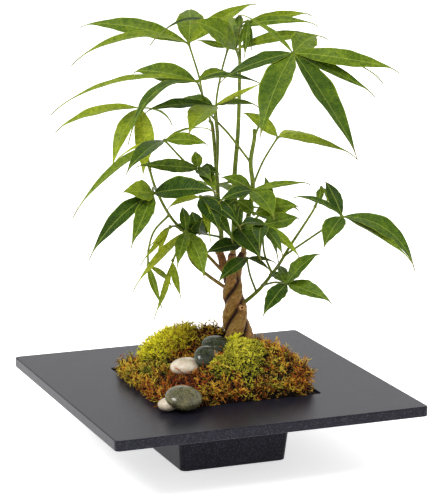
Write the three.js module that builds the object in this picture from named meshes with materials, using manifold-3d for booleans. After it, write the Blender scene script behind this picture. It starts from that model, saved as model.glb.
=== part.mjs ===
// A small money tree, a braided Pachira, in a square black planter with a wide flat rim.
// Millimetres, +Z up. The planter's foot stands on z = 0, centred on the origin, with its sides along X and Y.
import * as THREE from "three";
import { mergeVertices } from "three/addons/utils/BufferGeometryUtils.js";
import Module from "manifold-3d";

const wasm = await Module();
wasm.setup();

// ---- driving dimensions ----

const GAP = 0.3; // left between pieces that touch
const HEIGHT = 64; // floor to the flat top of the planter

const RIM_SIDE = 280;
const RIM_THICK = 9;
const RIM_EDGE = 1.2; // bevel round the plate
const OPENING_SIDE = 142; // the shallow recess that the moss fills
const RECESS_DEPTH = 5;
const WELL_TOP = 107; // outside of the root well, under the plate
const WELL_FOOT = 97; // outside of the root well, on the floor
const WELL_CORNER = 4;
const WALL = 3;

const MOUND_HEIGHT = 24; // soil heaped round the trunk, above the rim
const MOUND_WIDE = 42; // radius of the heap at the rim
const MOUND_TOP = 17; // radius of the heap at its top
const MOSS_EDGE = 4; // moss above the rim along the opening's edge
const MOSS_CREST = 33; // moss above the rim in the middle
const MOSS_CELL = 10; // size of one facet of moss
const MOSS_LEAN = 105; // the moss thins out towards the left over this length
const MOSS_ROUGH = 4.5; // difference between the lowest and the highest tuft
const MOSS_BROW = 0.55; // below 1 the moss rises steeply at its edges and lies flat inside

// The plant grows at an angle to the planter's sides. Its own frame has x across the braid's widest
// view, y to the back of it and z up from the floor.
const PLANT_TURN = THREE.MathUtils.degToRad(-22);

const TRUNK_X = 21;
const TRUNK_Y = 20;
const TRUNK_WIDE = 14.2; // radius round all three strands at the moss
const TRUNK_SLIM = 8.5; // the same where they part
const TRUNK_LEAN = -0.11; // sideways shift per unit of height
const TRUNK_FOOT = 52; // the roots end here, in the soil
const TRUNK_GROUND = 99; // where the braid leaves the moss
const TRUNK_TAPER = 0.8; // above 1 the braid keeps its width for longer
const BRAID_TOP = 150; // where the three strands part
const BRAID_START = 112; // degrees round the trunk at which the first strand leaves the moss
const TWIST = 0.058; // radians that the braid turns in 1 mm of height at the moss
const TWIST_GAIN = 0.0007; // and how much faster it turns further up
const STRAND_SHARE = 0.52; // a strand's radius as a share of the whole trunk's
const STRAND_SIDES = 9;
const STRAND_STEP = 6;
const STRAND_PART = 7; // height of each step in which the strands begin to part
const STRAND_SWAY = 1.2; // above 1 they part slowly at first

const LEAF_THICK = 0.7;
const LEAF_FOLD = 0.32; // rise of a leaflet's edges above its midrib, as a share of its half width
const LEAF_ARCH = 0.08; // height of a leaflet's bow, as a share of its length
const STEM_SIDES = 5;
const TIDY = 0.12; // slivers left where pieces grow together are melted away below this size
const UP = new THREE.Vector3(0, 0, 1);

// ---- colours ----

const material = (color, roughness) => new THREE.MeshStandardMaterial({ color, roughness, metalness: 0 });
const SLATE = material("#3c3b40", 0.45);
const SOIL = material("#2b1d14", 0.95);
const BARK = material("#8a6434", 0.85);
const LEAF = material("#5f8a2a", 0.5);
const RUST_MOSS = material("#8a5a20", 0.95);
const YELLOW_MOSS = material("#a59a2a", 0.95);
const LIME_MOSS = material("#9aa83c", 0.95);
const DARK_STONE = material("#3f423c", 0.25);
const PALE_STONE = material("#d6cdc2", 0.4);

// ---- helpers ----

const vec = (p) => new THREE.Vector3(...p);

// A closed three.js geometry as a solid that can be joined and cut.
function solid(geometry) {
  const bare = geometry.clone();
  bare.deleteAttribute("normal");
  bare.deleteAttribute("uv");
  const merged = mergeVertices(bare, 1e-4);
  return new wasm.Manifold(
    new wasm.Mesh({
      numProp: 3,
      vertProperties: new Float32Array(merged.attributes.position.array),
      triVerts: new Uint32Array(merged.index.array),
    }),
  );
}

// The solid as a named mesh.
function mesh(name, body, finish) {
  const data = body.getMesh();
  const geometry = new THREE.BufferGeometry();
  geometry.setAttribute("position", new THREE.BufferAttribute(new Float32Array(data.vertProperties), 3));
  geometry.setIndex(new THREE.BufferAttribute(new Uint32Array(data.triVerts), 1));
  geometry.computeVertexNormals();
  const made = new THREE.Mesh(geometry, finish);
  made.name = name;
  return made;
}

// A closed surface through rings of points, each ring turning the same way round the path. Every
// four-sided face is split along its shorter diagonal.
function loft(rings) {
  const around = rings[0].length;
  const points = rings.flat().flatMap((p) => [p.x, p.y, p.z]);
  const faces = [];
  for (let k = 0; k + 1 < rings.length; k++) {
    for (let i = 0; i < around; i++) {
      const a = k * around + i;
      const next = (i + 1) % around;
      const b = k * around + next;
      const rising = rings[k][i].distanceTo(rings[k + 1][next]);
      const falling = rings[k][next].distanceTo(rings[k + 1][i]);
      if (rising <= falling) faces.push(a, b, b + around, a, b + around, a + around);
      else faces.push(a, b, a + around, b, b + around, a + around);
    }
  }
  const last = (rings.length - 1) * around;
  for (let i = 1; i + 1 < around; i++) {
    faces.push(0, i + 1, i);
    faces.push(last, last + i, last + i + 1);
  }
  const geometry = new THREE.BufferGeometry();
  geometry.setAttribute("position", new THREE.Float32BufferAttribute(points, 3));
  geometry.setIndex(faces);
  return geometry;
}

// A round stalk through the given points, its radius running from one end's to the other's.
function stalk(points, from, to, steps) {
  const path = new THREE.CatmullRomCurve3(points.map(vec));
  const frames = path.computeFrenetFrames(steps, false);
  const rings = [];
  for (let k = 0; k <= steps; k++) {
    const centre = path.getPointAt(k / steps);
    const radius = THREE.MathUtils.lerp(from, to, k / steps);
    const ring = [];
    for (let i = 0; i < STEM_SIDES; i++) {
      const turn = (2 * Math.PI * i) / STEM_SIDES;
      ring.push(
        centre
          .clone()
          .addScaledVector(frames.normals[k], radius * Math.cos(turn))
          .addScaledVector(frames.binormals[k], radius * Math.sin(turn)),
      );
    }
    rings.push(ring);
  }
  return solid(loft(rings));
}

// ---- planter ----

// A square prism with cut corners, from one height and half side to another.
function squareLoft(levels, corner) {
  const rings = levels.map(([half, z]) => {
    const c = half - corner;
    return [
      [half, -c], [half, c], [c, half], [-c, half],
      [-half, c], [-half, -c], [-c, -half], [c, -half],
    ].map(([x, y]) => new THREE.Vector3(x, y, z));
  });
  return solid(loft(rings));
}

const WELL_HEAD = HEIGHT - RIM_THICK; // underside of the plate
const wellHalf = (z) => THREE.MathUtils.lerp(WELL_FOOT, WELL_TOP, z / WELL_HEAD) / 2;

function planter() {
  const half = RIM_SIDE / 2;
  const plate = squareLoft(
    [
      [half - RIM_EDGE, WELL_HEAD],
      [half, WELL_HEAD + RIM_EDGE],
      [half, HEIGHT - RIM_EDGE],
      [half - RIM_EDGE, HEIGHT],
    ],
    RIM_EDGE * 2,
  );
  const well = squareLoft([[wellHalf(0), 0], [wellHalf(WELL_HEAD + 1), WELL_HEAD + 1]], WELL_CORNER);
  const recess = squareLoft([[OPENING_SIDE / 2, HEIGHT - RECESS_DEPTH], [OPENING_SIDE / 2, HEIGHT + 1]], 1);
  const inside = squareLoft([[wellHalf(WALL) - WALL, WALL], [wellHalf(HEIGHT) - WALL, HEIGHT]], WELL_CORNER - 1);
  return plate.add(well).subtract(recess).subtract(inside);
}

// ---- soil ----

// A heap of soil round the trunk, in the planter's frame; grow widens it all round.
function soilHeap(grow) {
  const rise = MOUND_HEIGHT + RECESS_DEPTH - GAP;
  const heap = new THREE.CylinderGeometry(MOUND_TOP + grow, MOUND_WIDE + grow, rise + grow, 16);
  heap.rotateX(Math.PI / 2);
  heap.translate(TRUNK_X, TRUNK_Y, HEIGHT + MOUND_HEIGHT + grow - (rise + grow) / 2);
  heap.rotateZ(PLANT_TURN);
  return solid(heap);
}

const trunkAxisX = (z) => TRUNK_X + TRUNK_LEAN * (Math.max(z, TRUNK_GROUND) - TRUNK_GROUND);
const trunkRadius = (z) => {
  const t = THREE.MathUtils.clamp((z - TRUNK_GROUND) / (BRAID_TOP - TRUNK_GROUND), 0, 1);
  return THREE.MathUtils.lerp(TRUNK_WIDE, TRUNK_SLIM, t ** TRUNK_TAPER);
};

// A round shaft about the trunk, wide enough to hold it, from below its roots to the given height.
function trunkHole(bottom, top) {
  const radius = trunkRadius(0) + GAP;
  const shaft = new THREE.CylinderGeometry(radius, radius, top - bottom, 20).rotateX(Math.PI / 2);
  shaft.rotateZ(PLANT_TURN);
  const centre = new THREE.Vector3(TRUNK_X, TRUNK_Y, (top + bottom) / 2).applyAxisAngle(UP, PLANT_TURN);
  shaft.translate(centre.x, centre.y, centre.z);
  return solid(shaft);
}

const SOIL_TOP = HEIGHT - 2;

function soil() {
  const inner = (z) => wellHalf(Math.min(z, WELL_HEAD)) - WALL - GAP;
  const rootBall = squareLoft([[inner(WALL), WALL + GAP], [inner(HEIGHT), HEIGHT - RECESS_DEPTH + 1]], WELL_CORNER - 1);
  const layer = squareLoft(
    [[OPENING_SIDE / 2 - GAP, HEIGHT - RECESS_DEPTH + GAP], [OPENING_SIDE / 2 - GAP, SOIL_TOP]],
    1,
  );
  return rootBall.add(layer).add(soilHeap(0)).subtract(trunkHole(TRUNK_FOOT - GAP, HEIGHT + MOSS_CREST * 2));
}

// ---- braided trunk ----

// Where a strand stands round the trunk's axis at a height: its turn quickens above the moss.
function braidAngle(index, z) {
  const above = Math.min(z, BRAID_TOP) - TRUNK_GROUND;
  const turned = TWIST * above + TWIST_GAIN * Math.max(0, above) ** 2;
  return THREE.MathUtils.degToRad(BRAID_START + 120 * index) + turned;
}

// One strand of the braid. Its section is a circle pressed flat where it meets the other two; above the
// braid it parts from them and runs to the given point, where it turns green.
function strand(index, top, topRadius) {
  const rings = [];
  const levels = [];
  for (let z = TRUNK_FOOT; z < BRAID_TOP; z += STRAND_STEP) levels.push(z);
  levels.push(BRAID_TOP, BRAID_TOP + STRAND_PART, BRAID_TOP + 2 * STRAND_PART, top[2]);
  for (const z of levels) {
    const free = THREE.MathUtils.clamp((z - BRAID_TOP) / (top[2] - BRAID_TOP), 0, 1);
    const whole = trunkRadius(z);
    const packed = whole * STRAND_SHARE;
    const radius = THREE.MathUtils.lerp(packed, topRadius, free);
    const out = whole - packed;
    const angle = braidAngle(index, z);
    const sway = free ** STRAND_SWAY;
    const x = THREE.MathUtils.lerp(trunkAxisX(z) + out * Math.cos(angle), top[0], sway);
    const y = THREE.MathUtils.lerp(TRUNK_Y + out * Math.sin(angle), top[1], sway);
    const ring = [];
    for (let i = 0; i < STRAND_SIDES; i++) {
      const turn = angle + (2 * Math.PI * i) / STRAND_SIDES;
      let px = x + radius * Math.cos(turn);
      let py = y + radius * Math.sin(turn);
      for (const side of [-1, 1]) {
        // the plane between this strand and its neighbour passes through the trunk's axis
        const wall = angle + side * (Math.PI / 3);
        const nx = side * Math.sin(wall);
        const ny = -side * Math.cos(wall);
        const depth = (px - trunkAxisX(z)) * nx + (py - TRUNK_Y) * ny - GAP / 2;
        if (depth < 0) {
          px -= depth * nx;
          py -= depth * ny;
        }
      }
      ring.push(new THREE.Vector3(px, py, z));
    }
    rings.push(ring);
  }
  return solid(loft(rings));
}

// ---- leaves ----

// Along a leaflet: how far along each ring stands, and its half width as a share of the widest.
const LEAFLET_RINGS = [[0, 0.03], [0.1, 0.42], [0.3, 0.94], [0.55, 0.91], [0.82, 0.32], [1, 0.03]];
const SHORT_LEAFLET_RINGS = [[0, 0.05], [0.28, 0.93], [0.66, 0.76], [1, 0.05]];
const SHORT = 46; // a leaflet under this length takes the shorter list
const LEAST_HALF_WIDTH = 0.45;
const HUB_SWELL = 2.1; // the knob where the leaflets meet, as a share of the petiole's radius
const HUB_CLEAR = 0.8; // a leaflet begins this far from the hub's middle
const PETIOLE_FOOT = 1.15; // the petiole's radius at the stem, as a share of that at the hub

// One leaflet from the hub to its tip: a blade folded along its midrib and bowed upwards.
function leaflet(hub, tip, width, face, arch) {
  const along = tip.clone().sub(hub);
  const length = along.length();
  const side = along.clone().cross(face).normalize();
  const normal = side.clone().cross(along).normalize();
  const start = hub.clone().addScaledVector(along, HUB_CLEAR / length);
  const middle = hub.clone().lerp(tip, 0.5).addScaledVector(normal, 2 * arch * length);
  const path = new THREE.QuadraticBezierCurve3(start, middle, tip);
  const rings = (length < SHORT ? SHORT_LEAFLET_RINGS : LEAFLET_RINGS).map(([share, wide]) => {
    const centre = path.getPoint(share);
    const lift = side.clone().cross(path.getTangent(share)).normalize();
    const half = Math.max((width / 2) * wide, LEAST_HALF_WIDTH);
    const at = (across, above) =>
      centre.clone().addScaledVector(side, across).addScaledVector(lift, above);
    const rise = half * LEAF_FOLD;
    const skin = LEAF_THICK / 2;
    return [
      at(-half, rise + skin), at(0, skin), at(half, rise + skin),
      at(half, rise - skin), at(0, -skin), at(-half, rise - skin),
    ];
  });
  return solid(blade(rings));
}

// The blade's rings hold three points of the upper face and three of the lower, in a loop. Both faces
// are split along the same diagonals, so the blade is as thick everywhere.
function blade(rings) {
  const points = rings.flat().flatMap((p) => [p.x, p.y, p.z]);
  const faces = [];
  const quad = (a, b, c, d) => faces.push(a, b, c, a, c, d);
  for (let k = 0; k + 1 < rings.length; k++) {
    const a = k * 6;
    const b = a + 6;
    quad(a, a + 1, b + 1, b);
    quad(a + 1, a + 2, b + 2, b + 1);
    quad(a + 2, a + 3, b + 3, b + 2);
    faces.push(a + 3, a + 4, b + 3, a + 4, b + 4, b + 3);
    faces.push(a + 4, a + 5, b + 4, a + 5, b + 5, b + 4);
    quad(a + 5, a, b, b + 5);
  }
  const end = (rings.length - 1) * 6;
  quad(0, 5, 4, 1);
  quad(1, 4, 3, 2);
  quad(end, end + 1, end + 4, end + 5);
  quad(end + 1, end + 2, end + 3, end + 4);
  const geometry = new THREE.BufferGeometry();
  geometry.setAttribute("position", new THREE.Float32BufferAttribute(points, 3));
  geometry.setIndex(faces);
  return geometry;
}

// A palmate leaf: a petiole from the stem to the hub, and leaflets from the hub to their tips.
function leaf({ petiole, tips, ratio = 0.24, face = [0, -0.12, 1], faces = {}, thick = 0.9 }) {
  const hub = vec(petiole.at(-1));
  const pieces = [stalk(petiole, thick * PETIOLE_FOOT, thick, petiole.length)];
  pieces.push(solid(new THREE.OctahedronGeometry(thick * HUB_SWELL).translate(hub.x, hub.y, hub.z)));
  tips.forEach(([x, y, z, width, arch = LEAF_ARCH], number) => {
    const tip = new THREE.Vector3(x, y, z);
    const facing = vec(faces[number] ?? face).normalize();
    pieces.push(leaflet(hub, tip, width ?? ratio * tip.distanceTo(hub), facing, arch));
  });
  return pieces;
}

// A leafy stem: its own stalk and all the leaves on it, grown together.
function leafyStem({ stem, from, to, leaves }) {
  const pieces = [stalk(stem, from, to, stem.length + 3), ...leaves.flatMap(leaf)];
  return wasm.Manifold.union(pieces).simplify(TIDY);
}

// ---- the leafy stems, in the plant's own frame ----

// The ways most blades face, where they don't face up: towards the front, or a little forward of up.
const VIEWER = [0, -0.85, 0.5];
const TILTED = [0, -0.5, 0.85];

const shootLeft = {
  stem: [[3, 26, 172], [6, 26, 187], [3, 24, 222], [2, 23, 240], [-2, 22, 285], [-5, 21, 291]],
  from: 2.2,
  to: 1.5,
  leaves: [
    {
      petiole: [[-2, 22, 284], [-8, 8, 308], [-15, -25, 332]],
      faces: { 0: VIEWER, 3: VIEWER, 4: TILTED },
      tips: [
        [-70, -12, 339, 18, 0.08], [-136, -60, 311, 15, 0.1, 0.02], [-71, -85, 289, 13, 0.2],
        [11, 5, 336, 10], [43, -55, 333, 9, 0.12],
      ],
    },
    {
      petiole: [[2, 23, 242], [2, 12, 275], [-1, -5, 308]],
      faces: { 0: TILTED, 1: TILTED, 3: TILTED, 4: VIEWER },
      tips: [
        [-60, -22, 306, 13, 0.05], [-31, 20, 310, 12], [-22, -50, 292, 24], [37, -25, 312, 9],
        [42, -40, 334, 5, 0.01, 0],
      ],
    },
    {
      petiole: [[2, 23, 240], [-20, -5, 255], [-42, -45, 285]],
      faces: { 3: VIEWER },
      tips: [
        [-116, -95, 231, 13, 0.1], [-72, -100, 268, 18], [-83, -60, 270, 6], [-5, -40, 281, 12],
        [-2, -10, 289, 5],
      ],
    },
    {
      petiole: [[2, 23, 238], [-7, 8, 247], [-13, -5, 254]],
      ratio: 0.3,
      faces: { 0: VIEWER, 1: [0, -1, 0.1], 2: VIEWER, 3: VIEWER, 4: VIEWER },
      tips: [
        [-67, -46, 264, 13, 0.05], [-17, 4, 268, 10], [5, -25, 253, 11], [-2, -35, 249, 12],
        [2, -39, 240, 12, 0.05],
      ],
    },
    {
      petiole: [[3, 24, 222], [-5, 4, 228], [-12, -20, 232]],
      face: [0, -0.5, 0.8],
      tips: [
        [4, -45, 208, 20], [-3, -50, 200, 8], [-40, -40, 226, 9], [16, -30, 196, 14],
        [23, -42, 210, 14],
      ],
    },
    {
      petiole: [[6, 26, 187], [-3, 16, 191], [-13, 5, 195]],
      face: [0, -0.9, 0.3],
      tips: [[-4, -10, 216, 14], [-20, 20, 212, 13], [-10, -22, 214, 14], [-34, -6, 206, 11]],
    },
    {
      petiole: [[2, 23, 244], [3, 20, 276], [1, 16, 306], [5, 17, 332], [11, 18, 355]],
      face: VIEWER,
      tips: [[-16, 18, 362, 6, 0.02]],
    },
    {
      petiole: [[4, 25, 210], [0, 42, 222], [-2, 58, 226]],
      face: [0, 0.3, 0.9],
      tips: [[-30, 78, 226], [-14, 112, 212], [20, 104, 208], [30, 76, 224]],
    },
  ],
};

const shootMiddle = {
  stem: [
    [16, 14, 172], [17, 15, 200], [17, 15, 240], [20, 17, 283], [21, 18, 325], [21, 17, 366],
    [20, 12, 373],
  ],
  from: 2.6,
  to: 1.2,
  leaves: [
    {
      petiole: [[21, 18, 325], [21, 15, 342], [18, 9, 355]],
      faces: { 0: [0.5, -0.75, 0.5], 2: VIEWER },
      tips: [[-20, -20, 383, 24], [-55, -20, 364, 10, 0.28], [97, 0, 367, 10, 0.12], [7, 70, 377]],
    },
    {
      petiole: [[21, 18, 364], [20, 14, 369], [20, 12, 373]],
      faces: { 0: VIEWER, 1: VIEWER },
      tips: [[83, 20, 385, 10, 0.16], [88, -10, 379, 9, 0.14], [21, 25, 383, 7]],
    },
    {
      petiole: [[17, 15, 218], [17, 9, 223], [18, 3, 226]],
      face: VIEWER,
      tips: [[5, 6, 211, 12], [20, 8, 197, 11]],
    },
    {
      petiole: [[20, 14, 369], [23, 4, 378], [28, 0, 380]],
      face: [0, -1, 0.1],
      tips: [[25, -6, 350, 6], [31, -2, 356, 6], [20, -4, 357, 5]],
    },
  ],
};

const shootRight = {
  stem: [[25, 19, 172], [29, 15, 205], [33, 10, 234], [31, 8, 257], [34, 6, 278], [34, 6, 286]],
  from: 2.5,
  to: 1.7,
  leaves: [
    {
      petiole: [[31, 8, 257], [12, 6, 282], [-7, 13, 303], [-14, 20, 330], [-23, 25, 358]],
      faces: { 0: VIEWER, 1: [0, -0.3, 1], 3: VIEWER },
      tips: [
        [-119, 55, 370, 16, 0.1], [-122, -10, 345, 14, 0.14], [-24, 75, 383, 24],
        [36, 25, 394, 13, 0.18],
      ],
    },
    {
      petiole: [[34, 6, 280], [42, -5, 302], [52, -25, 334], [65, -45, 359]],
      faces: { 0: VIEWER, 1: VIEWER, 3: TILTED, 6: [0, -0.65, 0.75] },
      tips: [
        [86, -9, 370, 22, 0.02], [154, -45, 345, 15, 0.14], [140, -50, 337, 8, 0.1],
        [133, -60, 327, 13, 0.04], [117, -95, 281, 26, 0.08, 0.05], [37, -100, 298, 27],
        [4, -60, 338, 15], [19, -12, 389, 9, 0.03],
      ],
    },
    {
      petiole: [[33, 10, 236], [42, 20, 256], [55, 30, 276]],
      faces: { 0: TILTED, 1: VIEWER },
      tips: [[123, 15, 262, 11, 0.07], [23, 25, 299, 12], [97, 45, 271, 10], [82, 62, 272, 10]],
    },
    {
      petiole: [[33, 10, 232], [32, 4, 234], [32, -3, 235]],
      ratio: 0.3,
      face: [0, -0.5, 0.85],
      faces: { 2: VIEWER, 3: VIEWER },
      tips: [
        [83, -10, 243, 9, 0.04], [51, -35, 217, 21], [5, -15, 249, 13], [3, -35, 231, 12],
        [20, 0, 221, 7],
      ],
    },
    {
      petiole: [[30, 14, 213], [33, 2, 214], [34, -8, 215]],
      face: VIEWER,
      tips: [[73, 0, 221, 17, 0.12], [18, -5, 227, 12], [54, 16, 206, 9]],
    },
    {
      petiole: [[29, 15, 205], [24, 4, 204], [20, -8, 203]],
      face: [0, -0.5, 0.8],
      tips: [[40, -42, 183, 25], [17, -15, 226, 11], [22, -16, 224, 10], [49, -15, 204, 15, 0.06]],
    },
    {
      petiole: [[29, 15, 200], [40, 34, 206], [46, 48, 208]],
      face: [0, 0.3, 0.9],
      tips: [[20, 80, 196], [50, 104, 196], [76, 74, 202, 15], [44, 62, 236, 10]],
    },
    {
      petiole: [[26, 18, 182], [26, 5, 186], [25, -8, 188]],
      face: [0, -0.6, 0.8],
      tips: [[-8, -25, 184, 16]],
    },
  ],
};

const branchLeftHigh = {
  stem: [[9, 24, 155], [-6, 20, 172], [-26, 8, 195], [-39, -4, 213], [-50, -18, 238], [-56, -16, 257]],
  from: 1.5,
  to: 1.2,
  leaves: [
    {
      petiole: [[-55, -16, 254], [-59, -14, 279], [-63, -10, 307]],
      faces: { 0: [0, -0.3, 1] },
      tips: [
        [-135, -25, 290, 16], [-86, -45, 261, 15, 0.17], [-61, -25, 251, 17, 0.12], [-37, 30, 287, 6],
      ],
    },
    {
      petiole: [[-50, -18, 238], [-52, -38, 243], [-51, -62, 243]],
      ratio: 0.3,
      face: [0, -0.75, 0.65],
      faces: { 1: VIEWER },
      tips: [[3, -85, 250, 22], [-76, -85, 249, 19], [-103, -100, 196, 15, 0.14], [-68, -105, 207, 15]],
    },
    {
      petiole: [[-29, 5, 198], [-34, -4, 203], [-38, -12, 204]],
      face: [0, -1, 0.2],
      tips: [[-57, -35, 190, 5, 0.2], [-63, -45, 178, 5], [-50, -20, 176, 4, 0.2]],
    },
    {
      petiole: [[-39, -4, 213], [-52, 0, 198], [-57, -5, 182], [-57, -12, 170]],
      face: VIEWER,
      tips: [[-44, -34, 137, 6.5, 0.15], [-38, 10, 149, 5.5]],
    },
  ],
};

const branchLeftLow = {
  stem: [[14, 20, 140], [-7, 16, 156], [-20, 4, 171], [-24, -14, 191], [-24, -22, 199]],
  from: 1.7,
  to: 1,
  leaves: [
    {
      petiole: [[-24, -14, 192], [-24, -22, 199], [-24, -30, 204]],
      face: [0, -0.4, 0.9],
      faces: { 3: [0, -1, 0.1] },
      tips: [[-68, -65, 162, 9], [-8, -55, 170, 18], [-31, -60, 180, 12], [-28, -10, 222, 9]],
    },
    {
      petiole: [[-24, -14, 190], [-31, -12, 184], [-36, -12, 174]],
      face: [0, -1, 0.1],
      tips: [[-52, -12, 124, 5.5], [-28, -25, 144, 6.5]],
    },
  ],
};

const branchRight = {
  stem: [
    [22, 20, 126], [37, 16, 140], [45, 9, 151], [56, 2, 168], [65, -3, 185], [76, -9, 204],
    [86, -14, 222], [90, -14, 234],
  ],
  from: 1.8,
  to: 0.9,
  leaves: [
    {
      petiole: [[86, -14, 222], [90, -14, 234], [91.5, -14, 240]],
      tips: [[90, -19, 226, 7, 0.2], [96, -16, 225, 7, 0.2]],
    },
    {
      petiole: [[60, 0, 176], [93, -32, 207], [108, -45, 221]],
      face: [0, -0.35, 0.95],
      faces: { 0: TILTED, 3: [0, -1, 0.2] },
      tips: [
        [169, -60, 180, 19, 0.26], [166, -85, 190, 11, 0.08], [91, -75, 200, 19], [94, -20, 247, 12],
        [66, -50, 239, 10],
      ],
    },
    {
      petiole: [[50, 5, 160], [43, -12, 182], [41, -30, 210]],
      face: [0, -0.5, 0.85],
      faces: { 5: VIEWER },
      tips: [
        [73, -45, 185, 10], [58, -55, 190, 11], [55, -20, 177, 5], [22, -50, 214, 15],
        [38, -75, 200, 14], [73, -10, 213, 15, 0.02],
      ],
    },
    {
      petiole: [[42, 12, 147], [52, -10, 155], [62, -35, 160]],
      face: [0, -0.6, 0.75],
      tips: [
        [90, -50, 191, 17], [100, -60, 150, 17], [41, -65, 139, 16], [47, -10, 163, 10],
        [54, 0, 168, 8],
      ],
    },
    {
      petiole: [[37, 16, 140], [31, -2, 160], [28, -12, 177]],
      face: [0, -0.5, 0.8],
      tips: [[53, -20, 175, 5], [49, -30, 169, 5], [3, -38, 162, 14]],
    },
  ],
};

// ---- moss ----

// A repeatable random draw from 0 to 1.
function randomDraws(seed) {
  let state = seed;
  return () => {
    state = (state * 16807) % 2147483647;
    return state / 2147483647;
  };
}

// Swellings of the moss in the plant's frame: centre x and y, half sizes along x and y, rise.
const YELLOW_SWELLINGS = [[-41, 30, 22, 22, 16]];
const LIME_SWELLINGS = [[26, -26, 17, 37, 9], [8, -50, 12, 17, 5]];
const OTHER_SWELLINGS = [[-8, 32, 22, 20, 11], [62, -14, 30, 40, 5], [-30, -40, 34, 36, -7], [-15, -15, 24, 26, -8]];

// Height of the moss above the rim at a point of the planter's frame: steep at the edges, flat above.
function mossHeight(x, y) {
  const half = OPENING_SIDE / 2;
  const flat = (v) => Math.max(0, 1 - Math.abs(v / half) ** 3) ** MOSS_BROW;
  const spot = new THREE.Vector3(x, y, 0).applyAxisAngle(UP, -PLANT_TURN);
  const lean = Math.min(1, 1 + (spot.x + 5) / MOSS_LEAN);
  let height = MOSS_EDGE + (MOSS_CREST - MOSS_EDGE) * flat(x) * flat(y) * lean;
  for (const [cx, cy, rx, ry, rise] of [...YELLOW_SWELLINGS, ...LIME_SWELLINGS, ...OTHER_SWELLINGS]) {
    const away = ((spot.x - cx) / rx) ** 2 + ((spot.y - cy) / ry) ** 2;
    height += rise * Math.max(0, 1 - away) ** MOSS_BROW * Math.min(1, flat(x) * flat(y) * 2);
  }
  return height;
}

// All the moss as one slab, its top a grid of small tufts raised by a seeded draw.
function mossSlab() {
  const half = OPENING_SIDE / 2 - GAP * 3;
  const cells = Math.round((2 * half) / MOSS_CELL);
  const draw = randomDraws(5);
  const rows = [];
  for (let j = 0; j <= cells; j++) {
    for (let i = 0; i <= cells; i++) {
      const inner = i > 0 && j > 0 && i < cells && j < cells;
      const jitter = () => (inner ? (draw() - 0.5) * MOSS_CELL * 0.5 : 0);
      const x = -half + (2 * half * i) / cells + jitter();
      const y = -half + (2 * half * j) / cells + jitter();
      const tuft = inner ? (draw() - 0.5) * MOSS_ROUGH : 0;
      rows.push(x, y, HEIGHT + mossHeight(x, y) + tuft);
    }
  }
  const faces = [];
  const rim = [];
  const at = (i, j) => j * (cells + 1) + i;
  for (let j = 0; j < cells; j++) {
    for (let i = 0; i < cells; i++) {
      faces.push(at(i, j), at(i + 1, j), at(i + 1, j + 1), at(i, j), at(i + 1, j + 1), at(i, j + 1));
    }
  }
  for (let i = 0; i < cells; i++) rim.push(at(i, 0));
  for (let j = 0; j < cells; j++) rim.push(at(cells, j));
  for (let i = cells; i > 0; i--) rim.push(at(i, cells));
  for (let j = cells; j > 0; j--) rim.push(at(0, j));
  // a skirt down to the soil, and a flat underside fanned from its middle
  const low = rows.length / 3;
  for (const k of rim) rows.push(rows[3 * k], rows[3 * k + 1], SOIL_TOP + GAP);
  rows.push(0, 0, SOIL_TOP + GAP);
  const middle = low + rim.length;
  for (let k = 0; k < rim.length; k++) {
    const next = (k + 1) % rim.length;
    faces.push(rim[k], low + k, low + next, rim[k], low + next, rim[next]);
    faces.push(low + next, low + k, middle);
  }
  const geometry = new THREE.BufferGeometry();
  geometry.setAttribute("position", new THREE.Float32BufferAttribute(rows, 3));
  geometry.setIndex(faces);
  return solid(geometry);
}

// An upright prism over each swelling, to part one kind of moss from the next.
function clumps(swellings, grow) {
  const tall = 3 * HEIGHT;
  return wasm.Manifold.union(
    swellings.map(([cx, cy, rx, ry]) => {
      const prism = new THREE.CylinderGeometry(1, 1, tall, 18).rotateX(Math.PI / 2);
      prism.scale(rx + grow, ry + grow, 1);
      prism.translate(cx, cy, tall / 2);
      prism.rotateZ(PLANT_TURN);
      return solid(prism);
    }),
  );
}

// ---- pebbles ----

// A smooth river pebble; turn is its heading and tip its lean towards the front.
function pebble(centre, radii, turn, tip, sway = 0, grow = 0) {
  const ball = new THREE.SphereGeometry(1, 12, 7);
  ball.scale(...radii.map((r) => r + grow));
  ball.rotateY(sway);
  ball.rotateX(tip);
  ball.rotateZ(turn);
  ball.translate(...centre);
  ball.rotateZ(PLANT_TURN);
  return solid(ball);
}

const PEBBLES = [
  ["pebble_front", [-24.5, -97, 76], [16.5, 13.5, 8.3], 0.4, 0.45, 0.05, DARK_STONE],
  ["pebble_under", [-37.8, -96.5, 70.2], [9, 8.5, 5.8], 0.4, 0, 0, PALE_STONE],
  ["pebble_pale", [-24.5, -30, 85], [13.6, 10, 6.8], 0.1, 0.3, -0.1, PALE_STONE],
  ["pebble_dark", [-4, -29, 91.5], [14.8, 12.6, 7.4], 0.15, 0.75, 0.4, DARK_STONE],
  ["pebble_back", [2.5, -6, 97.5], [14, 11, 5.8], 0.1, 0.5, 0.1, DARK_STONE],
];

// ---- the whole ----

const root = new THREE.Group();
root.add(mesh("planter", planter(), SLATE));
root.add(mesh("soil", soil(), SOIL));

const stones = PEBBLES.map(([name, centre, radii, turn, tip, sway, finish]) => ({
  name,
  finish,
  body: pebble(centre, radii, turn, tip, sway),
  room: pebble(centre, radii, turn, tip, sway, GAP),
}));
const stoneRoom = wasm.Manifold.union(stones.map((stone) => stone.room));
for (const stone of stones) {
  // a pebble that lies under another is hollowed where they press together
  const above = stones.slice(0, stones.indexOf(stone)).map((other) => other.room);
  const body = above.length ? stone.body.subtract(wasm.Manifold.union(above)) : stone.body;
  root.add(mesh(stone.name, body, stone.finish));
}

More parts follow.
